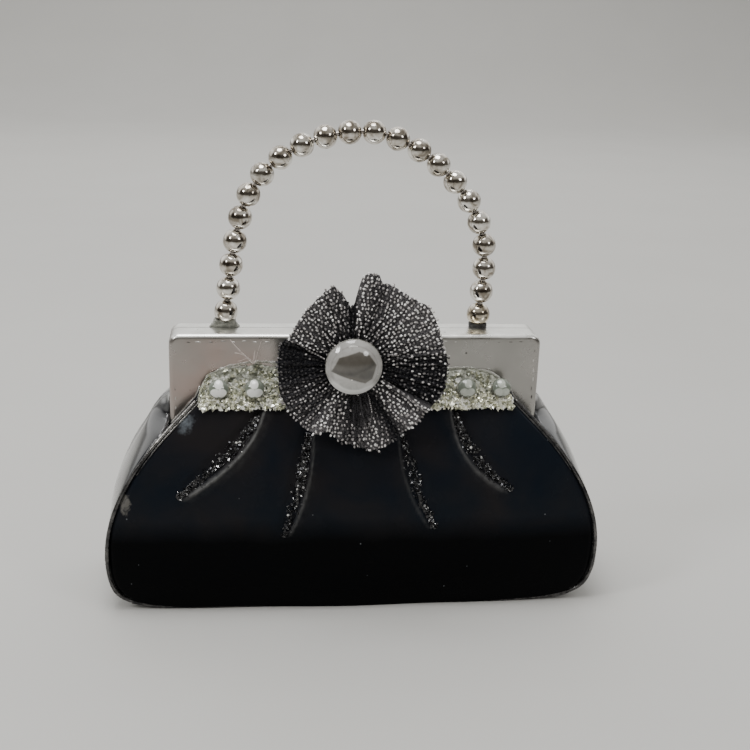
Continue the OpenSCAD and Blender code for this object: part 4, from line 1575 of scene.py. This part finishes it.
def rosette():
    """Black net, cut as a long strip and gathered along one edge into a rosette, with a ragged outer edge."""
    columns, rows = 900, 30
    angle = np.linspace(0, 360, columns, endpoint=False)
    ragged = 0.35 * (hashed(np.arange(columns) // 2, 3.1) - 0.5)
    edge = around(angle, 1) - 0.5 + ragged
    v = np.linspace(0, 1, rows)[:, None] ** 0.85
    hole_r = 3.2
    r = hole_r + v * (edge[None, :] - hole_r)
    points = rosette_point(np.broadcast_to(angle, r.shape), r).reshape(-1, 3)
    heap = Heap()
    # the net's tone: painted light and shade of each lobe, lighter towards the edge
    shade = np.broadcast_to(around(angle, 3) * 0.9 - 0.12, r.shape) * v
    heap.add(points, grid_faces(rows, columns, wrap_columns=True), np.clip(shade, 0, 1).ravel())
    obj = heap.make("rosette_net", NET)
    if obj.data.polygons[len(obj.data.polygons) // 2].normal.y > 0:
        obj.data.flip_normals()
    thicken(obj, 0.22)
    placed(obj, ROOT, "rosette_mesh", "flower_rosette")
    return obj


# painted light and shade of one grain: dark folds and gaps, lighter lobe edges and ribs, spread at random, a
# few grains bright at random
def rosette_light_and_shade(angle, r, rng):
    edge = around(angle, 1)
    share = (r - 8) / (edge - 8)
    tone = around(angle, 3)
    if 262 < angle < 302:
        tone *= 0.06 + 0.94 * float(smooth(0.52, 0.78, share + 0.012 * abs(angle - 276)))
    if 100 < angle < 156 or 12 < angle < 94:
        tone *= 0.62 + 0.38 * float(smooth(0.0, 0.3, share))
    if 158 < angle < 200:
        tone += 0.18 * float(smooth(0.75, 1.0, share))
    turn = (angle + 180) % 360 - 180
    if -26 < turn < 10:
        tone += 0.5 * math.cos(math.radians(45 * (turn + 2))) ** 8
    if rng.random() < 0.045:
        tone += 0.45
    return float(np.clip(tone * rng.uniform(0.55, 1.6), 0, 1))


def rosette_grains(net):
    """Grains of metal thread that stand up from the net, in staggered rows, and prickle along its edge."""
    rng = np.random.default_rng(91)
    solid, faces = OCTAHEDRON
    fine = []
    heap = Heap()
    r = 7.6
    row = 0
    while r < 32:
        count = int(math.tau * r / 1.27)
        for k in range(count):
            angle = (k + 0.5 * (row % 2)) / count * 360 + rng.normal(0, 18 / r)
            angle %= 360
            edge = around(angle, 1)
            radius = r + rng.normal(0, 0.13)
            if radius > edge + 0.15:
                continue
            fine.append((angle, radius, radius > edge - 0.9))
        r += 1.24
        row += 1
    for angle, radius, at_edge in fine:
        at = rosette_point(np.array(angle), np.array(radius), 0.2)
        ahead = rosette_point(np.array(angle), np.array(radius + 0.3), 0.2) - at
        ahead /= np.linalg.norm(ahead)
        beside = rosette_point(np.array(angle + 1.0), np.array(radius), 0.2) - at
        beside -= ahead * (beside @ ahead)
        beside /= np.linalg.norm(beside)
        up = np.cross(ahead, beside)
        if up[1] > 0:
            up = -up
        twist = rng.normal(0, 0.6)
        u = math.cos(twist) * ahead + math.sin(twist) * beside + rng.normal(0, 0.15) * up
        u /= np.linalg.norm(u)
        v = np.cross(up, u)
        v /= np.linalg.norm(v)
        w = np.cross(u, v)
        long = rng.uniform(0.8, 1.15) * (1.15 if at_edge else 1.0)
        shape = solid * (long, rng.uniform(0.58, 0.8), rng.uniform(0.5, 0.66))
        heap.add(turned(shape, u, v, w, at), faces, rosette_light_and_shade(angle, radius, rng))
    for start, end, size in (
        ((19.3, 155.4), (9.2, 166.0), 0.3),
        ((10.5, -27.0), (27.8, -32.0), 0.34),
        ((10.4, -63.0), (16.5, -68.0), 0.24),
        ((16.5, -68.0), (21.5, -76.0), 0.14),
        ((11.0, 20.0), (14.5, 13.0), 0.26),
    ):
        t = np.linspace(0, 1, 30)
        line = rosette_point(start[1] + t * (end[1] - start[1]), start[0] + t * (end[0] - start[0]), 0.75)
        radii = size * (0.55 + 0.45 * np.sin(np.linspace(0.2, 2.9, 30))) * (1 + 0.3 * np.sin(t * 60))
        points, tube_faces = tube(line, radii, 10)
        heap.add(points, tube_faces, np.repeat(0.26 + 0.2 * t + 0.2 * np.sin(t * 60), 10))
    grains = heap.make("rosette_net_grains", GRAIN, smooth_shading=False)
    grains.modifiers.new("round", "SUBSURF").render_levels = 1
    grains.modifiers["round"].levels = 1
    applied(grains)
    placed(grains, ROOT, "rosette_mesh")
    return grains


def rosette_back():
    """The felt disc that the rosette is sewn to."""
    low, high = box_mm("flower_backing")
    rng = np.random.default_rng(17)
    radius, thick = (high[0] - low[0]) / 2, high[1] - low[1]
    profile = [
        (1.6, 0.0), (radius - 1, 0.0), (radius - 0.25, 0.15), (radius, thick / 2),
        (radius - 0.25, thick - 0.15)
    ]
    profile += [(radius - 1, thick), (1.6, thick)]
    at = np.array([(low[0] + high[0]) / 2, high[1], (low[2] + high[2]) / 2])
    points, faces = lathe(profile, at, (0, -1, 0), 72, closed=True)
    points += rng.normal(0, 0.05, points.shape)
    obj = add_mesh("rosette_felt_back", points, faces, FELT)
    placed(obj, ROOT, "felt_black", "flower_backing")


CABOCHON_FACET = [(-7.2, -0.8), (-4.9, 3.8), (1.3, 5.9), (4.6, 4.6), (6.8, 1.3), (5.5, -3.0), (3.4, -4.4)]


def cabochon():
    """A clear acrylic dome on silvered foil: pale at its rim, brown-grey inside and brightest at its foot,
    where the bright crescent is painted highlight.
    """
    back = dome_high[1]
    radius = (dome_high[0] - dome_low[0]) / 2 - 0.15
    at = np.array([flower[0], back, flower[2]])
    rise = dome_high[1] - dome_low[1] - 0.8
    points, faces = lathe(dome_profile(radius, 0.8, rise, 70), at, (0, -1, 0), 180)
    x, z = points[:, 0] - at[0], points[:, 2] - at[2]
    r, turn = np.hypot(x, z), np.degrees(np.arctan2(z, x))
    ring = CABOCHON_FACET + [CABOCHON_FACET[0]]
    inside = np.ones(len(points))
    for (ax, az), (bx, bz) in zip(ring, ring[1:]):
        away = ((bx - ax) * (z - az) - (bz - az) * (x - ax)) / math.hypot(bx - ax, bz - az)
        inside = np.minimum(inside, smooth(0.25, -0.35, away))
    streak = np.exp(-(((z + 0.7 - 0.24 * x - 0.03 * x * x) / 0.9) ** 2)) * smooth(-7.5, -6, x)
    streak = np.maximum(streak, 0.8 * smooth(1.0, 0.5, np.hypot((x - 3.6) / 3.2, (z + 1.3) / 2.2)))
    # a bright crescent low on the dome: painted highlight
    foot = smooth(6.3, 7.6, r) * smooth(66, 34, np.abs(turn + 95))
    low_facet = smooth(-1.6, -2.6, z + 0.25 * x) * smooth(7.0, 6.4, r)
    seam = np.exp(-(((r - 7.3) / 0.2) ** 2))
    tone = 0.62 - 0.36 * inside - 0.2 * streak * inside + 0.5 * foot - 0.07 * seam + 0.08 * low_facet
    heap = Heap()
    heap.add(points, faces, np.clip(tone, 0, 1))
    placed(crisp(heap.make("cabochon_dome", DOME), 45), ROOT, "cabochon_clear", "flower_cabochon")
    # near-white spots where the dome's highlights fall: painted highlights
    glow = Heap()
    for dx, dz, size in ((-0.5, 7.0, 0.9), (-0.9, -2.9, 0.36), (7.2, -1.9, 0.28), (-4.6, -5.4, 0.25)):
        fall = rise * (1 - (math.hypot(dx, dz) / radius) ** 2)
        spot = [(size * math.sin(q), 0.12 * math.cos(q)) for q in np.radians(np.linspace(176, 4, 10))]
        p, f = lathe(spot, np.array([0.0, 0.0, 0.0]), (0, -1, 0), 24)
        p = p * (1.7 if size > 0.5 else 1.0, 1, 0.6)
        glow.add(p + (at[0] + dx, back - 0.8 - fall, at[2] + dz), f)
    placed(glow.make("cabochon_painted_highlights", HIGHLIGHT_SPOT), ROOT, "cabochon_clear")
    bed = [(0.01, -0.45), (radius - 0.2, -0.45), (radius + 0.1, -0.25), (radius, -0.02), (0.01, -0.02)]
    placed(
        crisp(add_mesh("cabochon_foil", *lathe(bed, at, (0, -1, 0), 72), FOIL), 45), ROOT, "cabochon_clear"
    )


# ---- carried-over CAD nodes -----------------------------------------------


def dress_cad_nodes():
    """Hard parts whose CAD shape is right keep it and take a finished material."""
    looks = {
        "handle_nuts": PLATED,
        "front_stiffener": BOARD,
        "rear_stiffener": BOARD,
        "base_board": BOARD,
        "flower_spacer": DARK,
        "flower_stud": PLATED,
    }
    for node, look in looks.items():
        obj = frame["nodes"][node]
        obj.data.materials.clear()
        obj.data.materials.append(look)


# ---- stage ----------------------------------------------------------------


def floor():
    """A pale floor that sweeps up into a low pale backdrop."""
    look = Look("floor", (0.56, 0.555, 0.54), Roughness=0.8, Specular_IOR_Level=0.2)
    look.colour(look.ramp(look.noise(90, 3), [(0.3, (0.555, 0.55, 0.53)), (0.7, (0.57, 0.565, 0.545))]))
    bend = 500.0
    side = [(-2500.0, 0.0), (1400.0, 0.0)]
    side += [
        (1400 + bend * math.sin(a), bend * (1 - math.cos(a))) for a in np.radians(np.linspace(4, 62, 16))
    ]
    points = [(x, y, z) for y, z in side for x in (-4000.0, 4000.0)]
    obj = add_mesh("floor", points, grid_faces(len(side), 2), look.material)


def soft_light(name, at, aim, width, height, power):
    data = bpy.data.lights.new(name, "AREA")
    data.shape, data.size, data.size_y, data.energy = "ELLIPSE", width, height, power
    obj = bpy.data.objects.new(name, data)
    bpy.context.scene.collection.objects.link(obj)
    obj.location = at
    obj.rotation_euler = (Vector(aim) - Vector(at)).to_track_quat("-Z", "Y").to_euler()
    return obj


def studio():
    """A plain room: bright above and behind, dim in front at eye level, with four soft lights."""
    world = bpy.data.worlds.new("studio")
    bpy.context.scene.world = world
    world.use_nodes = True
    tree = world.node_tree

    def node(kind, **settings):
        made = tree.nodes.new(kind)
        for name, value in settings.items():
            setattr(made, name, value)
        return made

    def ramp(value, stops):
        made = node("ShaderNodeValToRGB")
        while len(made.color_ramp.elements) < len(stops):
            made.color_ramp.elements.new(0.5)
        for element, (position, colour) in zip(made.color_ramp.elements, stops):
            element.position, element.color = position, (*colour, 1)
        tree.links.new(value, made.inputs["Fac"])
        return made.outputs["Color"]

    coordinate = node("ShaderNodeTexCoord")
    split = node("ShaderNodeSeparateXYZ")
    tree.links.new(coordinate.outputs["Generated"], split.inputs[0])
    height, depth = split.outputs["Z"], split.outputs["Y"]
    warm = [
        (0.0, (0.3, 0.29, 0.27)), (0.05, (0.07, 0.062, 0.05)), (0.45, (0.1, 0.09, 0.078)),
        (0.64, (0.6, 0.59, 0.56)), (1.0, (0.72, 0.71, 0.69))
    ]
    front = ramp(height, warm)
    back = ramp(
        height,
        [
            (0.0, (0.5, 0.49, 0.47)), (0.09, (0.55, 0.54, 0.52)), (0.16, (1.32, 1.31, 1.27)),
            (0.6, (1.2, 1.19, 1.16)), (1.0, (0.85, 0.84, 0.82))
        ]
    )
    behind = ramp(depth, [(0.0, (0.0, 0.0, 0.0)), (0.35, (1.0, 1.0, 1.0))])
    mix = node("ShaderNodeMix", data_type="RGBA")
    tree.links.new(behind, mix.inputs["Factor"])
    tree.links.new(front, mix.inputs[6])
    tree.links.new(back, mix.inputs[7])
    background = tree.nodes["Background"]
    tree.links.new(mix.outputs[2], background.inputs["Color"])
    background.inputs["Strength"].default_value = 1.0
    soft_light("overhead", (-0.1, -0.05, 0.85), (0, 0, 0.05), 0.5, 0.4, 4.0)
    soft_light("left_window", (-0.55, -0.3, 0.55), (0, 0, 0.06), 0.16, 0.22, 1.6)
    soft_light("backdrop", (0, 0.75, 1.1), (0, 1.75, 0.12), 1.4, 0.3, 9.0)
    soft_light("right_fill", (0.5, -0.5, 0.5), (0, 0, 0.06), 0.22, 0.22, 0.8)


def camera():
    """The photograph's view: a little to the left, looking down at the bag, with a slight roll."""
    eye = Vector((-37.57, -371.19, 195.58)) * MM
    ahead = Vector((0.11277, 0.94435, -0.30902))
    right = Vector((0.99294, -0.11858, 0.0))
    up = Vector((0.03664, 0.30684, 0.95105))
    roll = math.radians(1.95)
    rolled_right = math.cos(roll) * right + math.sin(roll) * up
    rolled_up = -math.sin(roll) * right + math.cos(roll) * up
    data = bpy.data.cameras.new("camera")
    data.sensor_width = 36.0
    data.lens = 56.64
    data.clip_start, data.clip_end = 0.01, 200
    obj = bpy.data.objects.new("camera", data)
    bpy.context.scene.collection.objects.link(obj)
    basis = Matrix((rolled_right, rolled_up, -ahead)).transposed()
    obj.matrix_world = Matrix.Translation(eye) @ basis.to_4x4()
    bpy.context.scene.camera = obj


frame_shells()
ears()
rivets()
stitches()
kiss_lock()
wire()
beads()
handle_feet()
front_panel()
rear_panel()
gusset_band()
shoulder_wings()
rims()
lining()
band_bed()
band_shards()
gems()
glue_ridges()
pleat_glitter()
rosette_grains(rosette())
rosette_back()
cabochon()
dress_cad_nodes()
floor()
studio()
camera()
